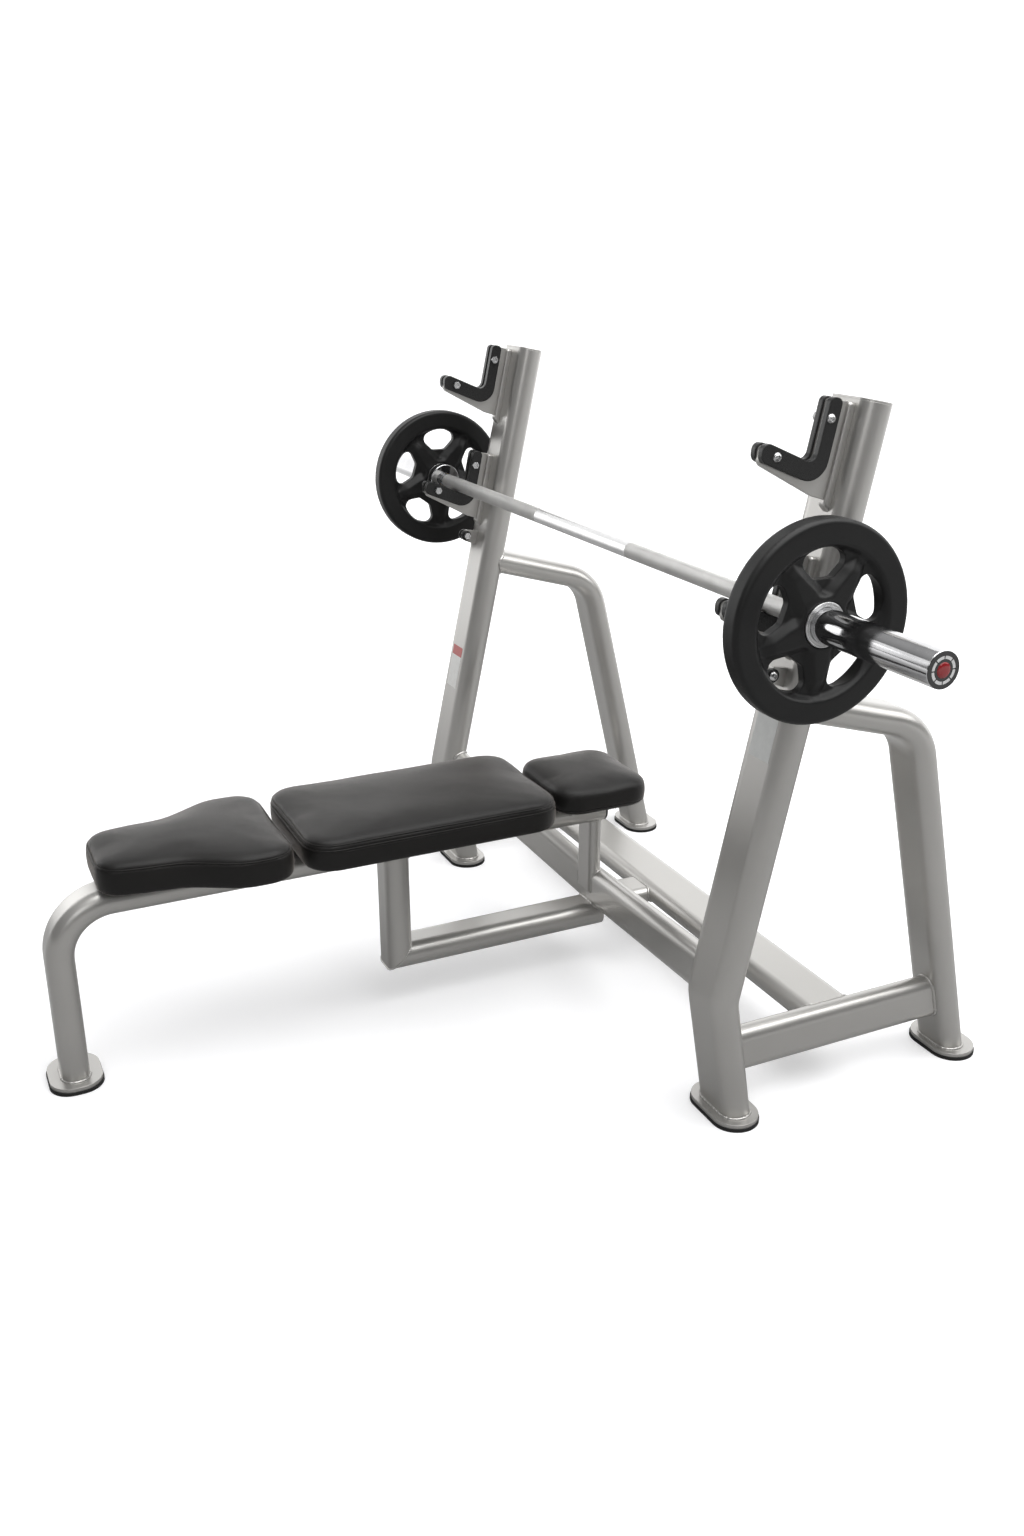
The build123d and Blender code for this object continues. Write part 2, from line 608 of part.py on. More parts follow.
# -------------------------------------------------------------- grip plates
PLATE_R, PLATE_T = 146.0, 37.0
PLATE_X0 = SHAFT_HALF + COLLAR_T + 1    # inner face, 1 mm clear of the collar
HUB_R, HUB_BORE_R = 32.5, SLEEVE_R + 0.3
OPENING_COUNT = 5
# Opening between two spokes: (radius, degrees off its centre line, corner radius)
OPENING = [(65, -14, 10), (65, 14, 10), (100, 26, 14), (111, 0, 50), (100, -26, 14)]


def make_plate_body(s):
    """Rubber body: thick rim, thinner web with openings, raised centre."""
    x_mid = s * (PLATE_X0 + PLATE_T / 2)
    half = PLATE_T / 2
    body_bore_r = HUB_R + 0.02
    # Half section as (radius, axial position)
    section = [
        (body_bore_r, -half + 1), (46, -half + 1), (62, -13.5), (92, -13.5),
        (106, -half + 3), (115, -half), (139, -half), (PLATE_R, -half + 7),
        (PLATE_R, half - 7), (139, half), (115, half), (106, half - 3),
        (92, 13.5), (62, 15.5), (46, half - 1), (body_bore_r, half - 1)]
    wire = Wire.make_polygon([Vector(axial, r, 0) for r, axial in section], close=True)
    body = Solid.revolve(Face(wire), 360, Axis.X).moved(Location((x_mid, 0, BAR_Z)))
    for k in range(OPENING_COUNT):
        centre = 90 + 360 / OPENING_COUNT * k
        points = [(r * cos(radians(centre + off)), r * sin(radians(centre + off)))
                  for r, off, _ in OPENING]
        cut = rounded_prism(points, [corner_r for _, _, corner_r in OPENING],
                            lambda p: (x_mid - 60, p[0], BAR_Z + p[1]), (120, 0, 0))
        body = body - cut
    return solid(body)


def make_plate_hub(s):
    return solid(ring_x(s * (PLATE_X0 + 0.2), s * (PLATE_X0 + PLATE_T + 0.6), HUB_R, HUB_BORE_R))


# ---------------------------------------------------------- build and export
frames = {name: side_frame(side) for name, side in SIDES}
for name, frame in frames.items():
    export("upright_" + name, frame["post"])
    export("rear_leg_" + name, frame["leg"])
    export("side_rail_" + name, frame["rail"])
export("upright_caps", *[frame["cap"] for frame in frames.values()])

front_beam, front_filled = make_front_beam(frames)
rear_beam, rear_filled = make_rear_beam(frames)
spine, spine_filled = make_spine()
export("front_crossbeam", front_beam)
export("rear_crossbeam", rear_beam)
export("crossbeam_link", make_beam_link(front_filled, rear_filled))
export("bench_spine", spine)
export("mid_post", make_mid_post(spine_filled))
export("lower_tube", make_lower_tube(front_filled))
export("rear_stub", make_stub(front_filled, spine_filled))
export("spine_end_plug", make_spine_plug())

side_feet = [plate_and_sole(side * x, y, length, SIDE_FOOT_W) for _, side in SIDES
             for x, y, length in ((POST_X, POST_FOOT_Y, POST_FOOT_L),
                                  (LEG_X, LEG_FOOT_Y, LEG_FOOT_L))]
export("side_foot_plates", *[plate for plate, _ in side_feet])
export("side_foot_soles", *[sole for _, sole in side_feet])
bench_plate, bench_sole = plate_and_sole(0, BENCH_FOOT_Y, BENCH_FOOT_L, BENCH_FOOT_W,
                                         BENCH_FOOT_CORNER_R)
export("bench_foot_plate", bench_plate)
export("bench_foot_sole", bench_sole)

# (name, outline function, corner radii, y range, top height)
PADS = [("seat", seat_outline, SEAT_RADII + SEAT_RADII[::-1], SEAT_Y, PAD_Z1),
        ("back", rect_outline(BACK_Y, PAD_W), [BACK_R] * 4, BACK_Y, PAD_Z1),
        ("head", rect_outline(HEAD_Y, HEAD_W), [HEAD_R] * 4, HEAD_Y, HEAD_Z1)]
for name, *pad_shape in PADS:
    cushion, board = make_pad(*pad_shape)
    export(name + "_pad", cushion)
    export(name + "_board", board)
export("pad_brackets", *[make_bracket(y, length) for y, length in BRACKETS])
export("pad_bolts", *[make_pad_bolt(x, y) for x, y in BOLT_XY])

bases, screws, nuts = [], [], []
for name, side in SIDES:
    pair = {"upper": make_hook(side, HOOK_STEP), "lower": make_hook(side, 0.0)}
    for level, hook in pair.items():
        export("hook_plate_%s_%s" % (level, name), hook["plate"])
        bases.append(hook["base"])
        screws += hook["screws"]
        nuts += hook["nuts"]
    for face in ("outer", "inner"):
        export("hook_liners_%s_%s" % (face, name), *[hook[face] for hook in pair.values()])

lugs, discs = [], []
for _, side in SIDES:
    lug, lug_discs, screw, nut = make_bumper(side)
    lugs.append(lug)
    discs += lug_discs
    screws.append(screw)
    nuts.append(nut)
export("hook_bases", *bases)
export("hook_screws", *screws)
export("hook_nuts", *nuts)
export("bumper_lugs", *lugs)
export("bumper_discs", *discs)
export("upright_labels", make_label(POST_X - 26, POST_X + 26, -240, -172),
       make_label(-POST_X - 24, -POST_X + 24, -445, -352))

export("bar_shaft", make_shaft())
export("shaft_retaining_rings", make_retaining_ring(1), make_retaining_ring(-1))
for name, side in SIDES:
    export("sleeve_" + name, make_sleeve(side))
    export("sleeve_collar_" + name, make_collar(side))
    export("sleeve_bushings_" + name, *make_bushings(side))
    export("sleeve_cap_" + name, make_cap(side))
    export("cap_ring_" + name, make_cap_ring(side))
    export("cap_badge_" + name, make_badge(side))
    export("plate_rubber_" + name, make_plate_body(side))
    export("plate_hub_" + name, make_plate_hub(side))
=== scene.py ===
"""A weight bench with an uprights rack and a loaded barbell.

The barbell lies along x, centred on x = 0, and "right" is +x. The bench runs along y on the
low-y side of the bar. z is up. Lengths are in metres.
"""
import bpy, bmesh, math, json
import numpy as np
from functools import cache
from mathutils import Vector, Matrix
from mathutils.bvhtree import BVHTree


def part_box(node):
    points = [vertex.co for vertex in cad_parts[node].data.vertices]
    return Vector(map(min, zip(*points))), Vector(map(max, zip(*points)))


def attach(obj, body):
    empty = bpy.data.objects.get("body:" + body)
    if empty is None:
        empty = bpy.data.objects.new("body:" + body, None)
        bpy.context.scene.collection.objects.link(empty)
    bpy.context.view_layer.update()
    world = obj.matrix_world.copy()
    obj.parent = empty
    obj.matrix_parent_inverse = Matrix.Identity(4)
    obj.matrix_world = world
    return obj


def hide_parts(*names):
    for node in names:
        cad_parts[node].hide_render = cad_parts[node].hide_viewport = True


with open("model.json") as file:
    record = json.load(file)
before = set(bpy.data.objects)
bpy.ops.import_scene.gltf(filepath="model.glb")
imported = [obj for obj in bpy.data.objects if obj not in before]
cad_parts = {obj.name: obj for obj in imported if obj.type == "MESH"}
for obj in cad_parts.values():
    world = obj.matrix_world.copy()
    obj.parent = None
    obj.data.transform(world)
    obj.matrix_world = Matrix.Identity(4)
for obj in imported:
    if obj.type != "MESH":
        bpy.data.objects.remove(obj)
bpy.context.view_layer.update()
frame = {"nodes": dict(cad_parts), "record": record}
nodes = frame["nodes"]
slot_of = {part["node"]: part["material_slot"] for part in frame["record"]["subparts"]}
scene = bpy.context.scene

SIDES = (("right", 1), ("left", -1))      # side name, sign of its x

# Axis of the bar, shared by the shaft, sleeves and plates
_low, _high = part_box("bar_shaft")
BAR_Y = (_low.y + _high.y) / 2
BAR_Z = (_low.z + _high.z) / 2


# ------------------------------------------------------------ material kit
def grey(value):
    return (value, value, value)


def scaled(colour, factor):
    return tuple(v * factor for v in colour)


class Material:
    """A Principled material, with short methods that each add a node and return its output."""

    def __init__(self, name, roughness, metallic=0.0):
        self.data = bpy.data.materials.new(name)
        self.data.use_nodes = True
        self.tree = self.data.node_tree
        self.shader = self.tree.nodes["Principled BSDF"]
        self.set(Roughness=roughness, Metallic=metallic)
        self.coords = self.node("ShaderNodeTexCoord").outputs["Object"]

    def feed(self, socket, value):
        """Link a socket to another node's output, or give it a plain value."""
        if isinstance(value, bpy.types.NodeSocket):
            self.tree.links.new(value, socket)
        elif socket.type == "RGBA":
            socket.default_value = (*value, 1)
        else:
            socket.default_value = value

    def node(self, kind, inputs=None, **properties):
        node = self.tree.nodes.new(kind)
        for key, value in properties.items():
            setattr(node, key, value)
        for key, value in (inputs or {}).items():
            self.feed(node.inputs[key], value)
        return node

    def set(self, **inputs):
        """Set Principled inputs; underscores stand for spaces."""
        for key, value in inputs.items():
            self.feed(self.shader.inputs[key.replace("_", " ")], value)
        return self

    def noise(self, scale, detail=4, roughness=0.55, distortion=0.0, vector=None):
        return self.node("ShaderNodeTexNoise", {
            "Scale": scale, "Detail": detail, "Roughness": roughness,
            "Distortion": distortion, "Vector": vector or self.coords}).outputs["Fac"]

    def voronoi(self, scale, feature="F1", output="Distance"):
        return self.node("ShaderNodeTexVoronoi", {"Scale": scale, "Vector": self.coords},
                         feature=feature).outputs[output]

    def stretch(self, scale, rotation=(0, 0, 0)):
        return self.node("ShaderNodeMapping", {
            "Vector": self.coords, "Scale": scale, "Rotation": rotation}).outputs[0]

    def ramp(self, factor, low, high, at=(0.3, 0.7)):
        """Blend from colour low to colour high between two positions."""
        node = self.node("ShaderNodeValToRGB", {"Fac": factor})
        for stop, position, colour in zip(node.color_ramp.elements, at, (low, high)):
            stop.position = position
            stop.color = (*colour, 1)
        return node.outputs["Color"]

    def remap(self, value, span, to):
        return self.node("ShaderNodeMapRange", {
            "Value": value, "From Min": span[0], "From Max": span[1],
            "To Min": to[0], "To Max": to[1]}).outputs["Result"]

    def math(self, operation, a, b=None):
        inputs = {0: a} if b is None else {0: a, 1: b}
        return self.node("ShaderNodeMath", inputs, operation=operation).outputs[0]

    def add(self, a, b):
        return self.math("ADD", a, b)

    def subtract(self, a, b):
        return self.math("SUBTRACT", a, b)

    def times(self, a, b):
        return self.math("MULTIPLY", a, b)

    def mix(self, factor, a, b, mode="MIX"):
        return self.node("ShaderNodeMix", {0: factor, 6: a, 7: b},
                         data_type="RGBA", blend_type=mode).outputs[2]

    def bump(self, height, strength, distance, normal=None):
        inputs = {"Strength": strength, "Distance": distance, "Height": height}
        if normal is not None:
            inputs["Normal"] = normal
        return self.node("ShaderNodeBump", inputs).outputs["Normal"]

    def bevel(self, radius, samples=4):
        return self.node("ShaderNodeBevel", {"Radius": radius}, samples=samples).outputs["Normal"]

    def edges(self, radius):
        """1 near sharp edges, 0 on flats."""
        rounded = self.bevel(radius, samples=6)
        flat = self.node("ShaderNodeNewGeometry").outputs["Normal"]
        dot = self.node("ShaderNodeVectorMath", {0: rounded, 1: flat}, operation="DOT_PRODUCT")
        return self.remap(dot.outputs["Value"], span=(0.995, 0.86), to=(0.0, 1.0))

    def axes(self):
        return self.node("ShaderNodeSeparateXYZ", {0: self.coords}).outputs

    def bar_angle(self, y, z):
        """Angle around the bar's axis."""
        return self.math("ARCTAN2", self.subtract(z, BAR_Z), self.subtract(y, BAR_Y))


# --------------------------------------------------------------- materials
def silver_paint(name, bevel=0.0012, tone=1.0):
    """Metallic silver coat with flakes, orange peel, a painted highlight along its edges and a
    little dust.
    """
    m = Material(name, roughness=0.34, metallic=0.78)
    patches = m.noise(scale=3.5, detail=3)
    grain = m.noise(scale=900, detail=2, roughness=0.6)
    flakes = m.voronoi(scale=2600, output="Color")
    peel = m.noise(scale=260, detail=3, roughness=0.5)
    colour = m.ramp(patches, low=scaled((0.470, 0.461, 0.443), tone),
                    high=scaled((0.505, 0.495, 0.476), tone), at=(0.35, 0.65))
    colour = m.mix(0.07, colour, flakes, mode="SOFT_LIGHT")
    # Lighter colour near the sharp edges is a painted highlight
    painted_edge_highlight = m.times(m.edges(radius=0.003), 0.25)
    colour = m.mix(painted_edge_highlight, colour, (0.60, 0.59, 0.57))
    dust = m.remap(m.noise(scale=6, detail=4, roughness=0.6), span=(0.55, 0.78), to=(0.0, 0.06))
    colour = m.mix(dust, colour, (0.26, 0.253, 0.24))
    roughness = m.add(m.remap(m.noise(scale=7, detail=3), span=(0.3, 0.7), to=(0.30, 0.35)),
                      m.remap(grain, span=(0.3, 0.7), to=(-0.01, 0.015)))
    height = m.add(m.times(peel, 0.7), m.times(grain, 0.3))
    normal = m.bump(height, strength=0.035, distance=0.0003, normal=m.bevel(bevel))
    m.set(Base_Color=colour, Roughness=roughness, Normal=normal,
          Coat_Weight=0.30, Coat_Roughness=0.14, IOR=1.5)
    return m.data


def black_vinyl(name):
    """Grained upholstery: small cells with dark creases between them."""
    m = Material(name, roughness=0.44)
    cells = m.voronoi(scale=1150, feature="DISTANCE_TO_EDGE")
    fine_cells = m.voronoi(scale=2300, feature="SMOOTH_F1")
    crease = m.noise(scale=420, detail=5, roughness=0.65, distortion=0.6)
    patches = m.noise(scale=9, detail=3)
    cell_tops = m.remap(cells, span=(0.0, 0.12), to=(0.0, 1.0))
    height = m.add(m.times(cell_tops, 0.55),
                   m.add(m.times(fine_cells, 0.25), m.times(crease, 0.35)))
    colour = m.ramp(patches, low=(0.0062, 0.0057, 0.0053), high=(0.0100, 0.0092, 0.0086))
    groove_shade = m.times(m.subtract(1.0, cell_tops), 0.45)
    colour = m.mix(groove_shade, colour, (0.005, 0.0048, 0.0045))
    wear = m.remap(m.noise(scale=5, detail=4, roughness=0.6), span=(0.45, 0.75), to=(0.0, 1.0))
    roughness = m.add(m.remap(height, span=(0.2, 0.9), to=(0.46, 0.34)), m.times(wear, 0.07))
    normal = m.bump(height, strength=0.30, distance=0.00035)
    ripples = m.noise(scale=34, detail=4, roughness=0.6)
    normal = m.bump(ripples, strength=0.10, distance=0.0016, normal=normal)
    m.set(Base_Color=colour, Roughness=roughness, Normal=normal, Specular_IOR_Level=0.26,
          Sheen_Weight=0.42, Sheen_Roughness=0.28, Sheen_Tint=(0.80, 0.72, 0.66))
    return m.data


def thread(name, colour):
    m = Material(name, roughness=0.7)
    fibres = m.noise(scale=2400, detail=3, roughness=0.7)
    m.set(Base_Color=m.mix(fibres, scaled(colour, 0.6), scaled(colour, 1.5)),
          Normal=m.bump(fibres, strength=0.5, distance=0.0003), Sheen_Weight=0.3)
    return m.data


def dark_rubber(name, shade, roughness, grain_scale, bevel):
    m = Material(name, roughness=roughness)
    grain = m.noise(scale=grain_scale, detail=4, roughness=0.65)
    pebbles = m.voronoi(scale=grain_scale * 1.6, feature="SMOOTH_F1")
    patches = m.noise(scale=11, detail=4, roughness=0.6)
    colour = m.ramp(patches, low=scaled((0.85, 0.85, 0.86), shade),
                    high=scaled((1.35, 1.33, 1.30), shade), at=(0.3, 0.72))
    dust = m.remap(m.noise(scale=60, detail=6, roughness=0.75), span=(0.60, 0.80), to=(0.0, 0.08))
    colour = m.mix(dust, colour, (0.05, 0.048, 0.045))
    # Lighter colour near the sharp edges is a painted highlight
    painted_edge_highlight = m.times(m.edges(radius=0.0025), 0.25)
    colour = m.mix(painted_edge_highlight, colour, grey(shade * 2.6))
    height = m.add(m.times(grain, 0.6), m.times(pebbles, 0.4))
    m.set(Base_Color=colour,
          Roughness=m.remap(grain, span=(0.25, 0.75), to=(roughness - 0.06, roughness + 0.09)),
          Normal=m.bump(height, strength=0.22, distance=0.0005, normal=m.bevel(bevel)),
          Specular_IOR_Level=0.45)
    return m.data


def plate_rubber(name):
    """Near-black rubber with faint grey scuffs."""
    m = Material(name, roughness=0.56)
    grain = m.noise(scale=1500, detail=3, roughness=0.6)
    pebbles = m.voronoi(scale=1900, feature="SMOOTH_F1")
    patches = m.noise(scale=9, detail=4, roughness=0.6)
    colour = m.ramp(patches, low=(0.0055, 0.0055, 0.0058), high=(0.0090, 0.0090, 0.0088),
                    at=(0.3, 0.72))
    scuffs = m.remap(m.noise(scale=85, detail=7, roughness=0.8, distortion=1.2),
                     span=(0.62, 0.80), to=(0.0, 0.14))
    colour = m.mix(scuffs, colour, (0.035, 0.034, 0.033))
    height = m.add(m.times(grain, 0.5), m.times(pebbles, 0.5))
    waves = m.bump(m.noise(scale=48, detail=3), strength=0.08, distance=0.0012)
    m.set(Base_Color=colour, Roughness=m.remap(grain, span=(0.25, 0.75), to=(0.36, 0.50)),
          Normal=m.bump(height, strength=0.20, distance=0.0004, normal=waves),
          Specular_IOR_Level=0.30)
    return m.data


def hard_chrome(name):
    """Chrome with turning marks round x and a few long scratches."""
    m = Material(name, roughness=0.055, metallic=1.0)
    smudges = m.noise(scale=16, detail=5, roughness=0.65)
    turning = m.noise(scale=1.0, detail=3, roughness=0.6, vector=m.stretch(scale=(900, 3, 3)))
    along = m.stretch(scale=(9, 420, 420), rotation=(0.1, 0.05, 0.3))
    scratches = m.remap(m.noise(scale=1.0, detail=4, roughness=0.7, vector=along),
                        span=(0.66, 0.72), to=(0.0, 1.0))
    colour = m.ramp(smudges, low=(0.60, 0.60, 0.61), high=(0.72, 0.72, 0.73))
    roughness = m.add(m.remap(smudges, span=(0.35, 0.75), to=(0.055, 0.145)),
                      m.times(scratches, 0.10))
    height = m.add(m.times(turning, 0.7), m.times(scratches, -0.5))
    m.set(Base_Color=colour, Roughness=roughness,
          Normal=m.bump(height, strength=0.05, distance=0.0002, normal=m.bevel(0.0009)))
    return m.data


def knurled_steel(name):
    """Bar shaft: smooth middle, a knurled zone on each side, smooth again by the collars."""
    turns = 46                              # how fast the diamonds repeat round the bar
    pitch = 0.0019                          # length of a diamond along x
    zone_start = (0.1755, 0.1765)           # |x| over which the knurling fades in
    zone_end = (0.640, 0.641)               # |x| over which it fades out
    m = Material(name, roughness=0.2, metallic=0.95)
    x, y, z = m.axes()
    around = m.times(m.bar_angle(y, z), turns)
    along = m.times(x, 2 * math.pi / pitch)

    def grooves(phase):
        return m.math("ABSOLUTE", m.math("SINE", m.times(phase, 0.5)))

    diamonds = m.math("MINIMUM", grooves(m.add(around, along)),
                      grooves(m.subtract(around, along)))
    distance = m.math("ABSOLUTE", x)
    zone = m.times(m.remap(distance, span=zone_start, to=(0, 1)),
                   m.remap(distance, span=zone_end, to=(1, 0)))
    height = m.times(diamonds, zone)
    smudges = m.noise(scale=30, detail=5, roughness=0.65)
    smooth_colour = m.ramp(smudges, low=grey(0.60), high=grey(0.72))
    knurl_colour = m.ramp(m.add(m.times(diamonds, 0.6), m.times(smudges, 0.4)),
                          low=(0.34, 0.335, 0.325), high=(0.74, 0.735, 0.72), at=(0.15, 0.8))
    roughness = m.add(m.times(zone, 0.17), m.remap(smudges, span=(0.3, 0.7), to=(0.14, 0.24)))
    m.set(Base_Color=m.mix(zone, smooth_colour, knurl_colour), Roughness=roughness,
          Normal=m.bump(height, strength=0.85, distance=0.0006))
    return m.data


def plain_steel(name, shade, roughness):
    m = Material(name, roughness=roughness, metallic=1.0)
    grain = m.noise(scale=240, detail=5, roughness=0.7)
    patches = m.noise(scale=30, detail=4)
    m.set(Base_Color=m.ramp(patches, low=scaled((0.85, 0.85, 0.86), shade),
                            high=grey(shade * 1.1)),
          Roughness=m.remap(grain, span=(0.3, 0.7), to=(roughness - 0.08, roughness + 0.12)),
          Normal=m.bump(grain, strength=0.15, distance=0.0003, normal=m.bevel(0.0007)))
    return m.data


def turned_steel(name):
    """Machined ring with fine turning marks concentric with the bar."""
    m = Material(name, roughness=0.25, metallic=1.0)
    x, y, z = m.axes()
    radius = m.math("SQRT", m.add(m.math("POWER", m.subtract(y, BAR_Y), 2),
                                  m.math("POWER", m.subtract(z, BAR_Z), 2)))
    marks = m.node("ShaderNodeTexNoise", {"Scale": 5200.0, "Detail": 3.0, "W": radius},
                   noise_dimensions="1D").outputs["Fac"]
    smudges = m.noise(scale=40, detail=4)
    m.set(Base_Color=m.ramp(smudges, low=grey(0.50), high=grey(0.64)),
          Roughness=m.remap(marks, span=(0.3, 0.7), to=(0.20, 0.36)),
          Normal=m.bump(marks, strength=0.12, distance=0.0003, normal=m.bevel(0.0009)))
    return m.data


def bronze(name):
    m = Material(name, roughness=0.3, metallic=1.0)
    mottle = m.noise(scale=120, detail=5, roughness=0.7)
    m.set(Base_Color=m.ramp(mottle, low=(0.42, 0.28, 0.10), high=(0.60, 0.42, 0.18)),
          Roughness=m.remap(mottle, span=(0.3, 0.7), to=(0.24, 0.42)),
          Normal=m.bump(mottle, strength=0.1, distance=0.0003))
    return m.data


def stained_plywood(name):
    m = Material(name, roughness=0.7)
    grain = m.noise(scale=1.0, detail=6, roughness=0.7, distortion=0.5,
                    vector=m.stretch(scale=(60, 4, 500)))
    m.set(Base_Color=m.ramp(grain, low=(0.020, 0.017, 0.015), high=(0.050, 0.043, 0.037)),
          Roughness=m.remap(grain, span=(0.3, 0.7), to=(0.6, 0.8)),
          Normal=m.bump(grain, strength=0.3, distance=0.0006))
    return m.data


def blank_label(name):
    """Plain labels: light with a red band along the top on the left, grey on the right."""
    band_height = 0.021
    label_top = max(v.co.z for v in nodes["upright_labels"].data.vertices if v.co.x < 0)
    m = Material(name, roughness=0.32)
    x, y, z = m.axes()
    right = m.math("GREATER_THAN", x, 0.0)
    band = m.times(m.math("GREATER_THAN", z, label_top - band_height), m.subtract(1.0, right))
    wrinkle = m.noise(scale=70, detail=4)
    left_colour = m.ramp(wrinkle, low=(0.70, 0.70, 0.68), high=(0.78, 0.78, 0.76))
    right_colour = m.ramp(wrinkle, low=(0.52, 0.53, 0.52), high=(0.58, 0.59, 0.58))
    colour = m.mix(right, left_colour, right_colour)
    red = m.ramp(wrinkle, low=(0.42, 0.035, 0.03), high=(0.50, 0.05, 0.04))
    m.set(Base_Color=m.mix(band, colour, red),
          Roughness=m.remap(wrinkle, span=(0.3, 0.7), to=(0.28, 0.4)),
          Normal=m.bump(wrinkle, strength=0.06, distance=0.0006), Coat_Weight=0.3)
    return m.data


def bright_ring(name):
    """Bright ring broken into even segments by dark gaps."""
    half_segments = 4.0
    m = Material(name, roughness=0.16, metallic=1.0)
    x, y, z = m.axes()
    wave = m.math("ABSOLUTE", m.math("SINE", m.times(m.bar_angle(y, z), half_segments)))
    metal = m.remap(wave, span=(0.16, 0.22), to=(0.0, 1.0))
    grain = m.noise(scale=300, detail=4)
    colour = m.mix(metal, grey(0.012), m.ramp(grain, low=grey(0.66), high=grey(0.80)))
    relief = m.times(metal, 1.0)
    m.set(Base_Color=colour, Metallic=metal,
          Roughness=m.remap(grain, span=(0.3, 0.7), to=(0.12, 0.22)),
          Normal=m.bump(relief, strength=0.4, distance=0.0004, normal=m.bevel(0.0003)))
    return m.data


def gloss_plastic(name, colour, roughness):
    m = Material(name, roughness=roughness)
    patches = m.noise(scale=35, detail=4)
    m.set(Base_Color=m.ramp(patches, low=scaled(colour, 0.85), high=scaled(colour, 1.12)),
          Roughness=m.remap(m.noise(scale=90, detail=4), span=(0.3, 0.7),
                            to=(roughness, roughness + 0.09)),
          Normal=m.bump(m.noise(scale=300, detail=3), strength=0.03, distance=0.0004,
                        normal=m.bevel(0.0006)),
          Coat_Weight=0.4)
    return m.data


# Material for each slot of the CAD pieces
MATERIALS = {
    "frame_paint": silver_paint("silver_coat"),
    "cap_paint": silver_paint("silver_coat_plates", bevel=0.0016, tone=1.02),
    "bracket_steel": silver_paint("silver_coat_brackets", bevel=0.0008, tone=0.9),
    "hook_steel": silver_paint("silver_coat_hooks", bevel=0.0022),
    "sole_rubber": dark_rubber("sole_rubber", shade=0.011, roughness=0.72,
                               grain_scale=500, bevel=0.0012),
    "vinyl": black_vinyl("black_vinyl"),
    "board": stained_plywood("stained_plywood"),
    "liner": dark_rubber("liner_nylon", shade=0.0075, roughness=0.27,
                         grain_scale=900, bevel=0.0030),
    "fastener": plain_steel("zinc_steel", shade=0.62, roughness=0.22),
    "label": blank_label("blank_label"),
    "plug": dark_rubber("plug_plastic", shade=0.012, roughness=0.40,
                        grain_scale=600, bevel=0.001),
    "shaft_steel": knurled_steel("knurled_steel"),
    "sleeve_chrome": hard_chrome("hard_chrome"),
    "bushing": bronze("bronze"),
    "spring_steel": plain_steel("spring_steel", shade=0.28, roughness=0.35),
    "end_cap": gloss_plastic("cap_black", colour=grey(0.012), roughness=0.12),
    "cap_ring": bright_ring("bright_ring"),
    "cap_badge": gloss_plastic("badge_red", colour=(0.26, 0.008, 0.012), roughness=0.08),
    "plate_rubber": plate_rubber("plate_rubber"),
    "plate_hub": turned_steel("turned_steel"),
}
for node_name, cad_object in nodes.items():
    cad_object.data.materials.clear()
    cad_object.data.materials.append(MATERIALS[slot_of[node_name]])


# -------------------------------------------------------------- mesh tools
def link_object(name, data):
    obj = bpy.data.objects.new(name, data)
    scene.collection.objects.link(obj)
    return obj


def dress(obj, material, body):
    """Smooth shading and material, and which body the piece belongs to."""
    mesh = obj.data
    for face in mesh.polygons:
        face.use_smooth = True
    mesh.materials.clear()
    mesh.materials.append(material)
    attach(obj, body)


def mesh_from(name, points, faces):
    mesh = bpy.data.meshes.new(name)
    mesh.from_pydata([tuple(p) for p in points], [], faces)
    mesh.update()
    return mesh


def face_outwards(mesh):
    bm = bmesh.new()
    bm.from_mesh(mesh)
    bmesh.ops.recalc_face_normals(bm, faces=bm.faces)
    bm.to_mesh(mesh)
    bm.free()


def apply_modifier(obj, name, kind, **settings):
    modifier = obj.modifiers.new(name, kind)
    for key, value in settings.items():
        setattr(modifier, key, value)
    bpy.ops.object.modifier_apply(modifier=modifier.name)


def voxel_remesh(obj, voxel_size):
    """Make the object the active one and rebuild it as an even grid."""
    for other in bpy.context.selected_objects:
        other.select_set(False)
    bpy.context.view_layer.objects.active = obj
    obj.select_set(True)
    apply_modifier(obj, "remesh", "REMESH", mode="VOXEL", voxel_size=voxel_size)


def read_points(mesh):
    points = np.zeros(len(mesh.vertices) * 3)
    mesh.vertices.foreach_get("co", points)
    return points.reshape(-1, 3)


def write_points(mesh, points):
    mesh.vertices.foreach_set("co", points.reshape(-1))
    mesh.update()


def circle(radius, count):
    angles = [2 * math.pi * k / count for k in range(count)]
    return [(radius * math.cos(a), radius * math.sin(a)) for a in angles]


def bar_ring(x, radius, count):
    """Circle of points around the bar's axis."""
    return [(x, BAR_Y + u, BAR_Z + v) for u, v in circle(radius, count)]


def band(first, second, count):
    """Quads between two closed rings, given the index each ring starts at."""
    return [(first + k, first + (k + 1) % count, second + (k + 1) % count, second + k)
            for k in range(count)]


def end_caps(last, count):
    """Faces closing the ring that starts at 0 and the one that starts at last."""
    return [tuple(range(count))[::-1], tuple(last + k for k in range(count))]


def bead(name, path, radius, material, body, segments=8, ripple=None):
    """Round bead along a closed path; ripple(i) scales its radius at point i."""
    path = [Vector(p) for p in path]
    count = len(path)
    points, faces = [], []
    up = Vector((0.13, 0.21, 0.97))
    for i in range(count):
        tangent = (path[(i + 1) % count] - path[i - 1]).normalized()
        across = tangent.cross(up)
        if across.length < 1e-6:
            across = tangent.orthogonal()
        across.normalize()
        up = across.cross(tangent).normalized()
        size = radius * (ripple(i) if ripple else 1.0)
        points += [path[i] + across * u + up * v for u, v in circle(size, segments)]
        faces += band(i * segments, (i + 1) % count * segments, segments)
    mesh = mesh_from(name, points, faces)
    face_outwards(mesh)
    dress(link_object(name, mesh), material, body)


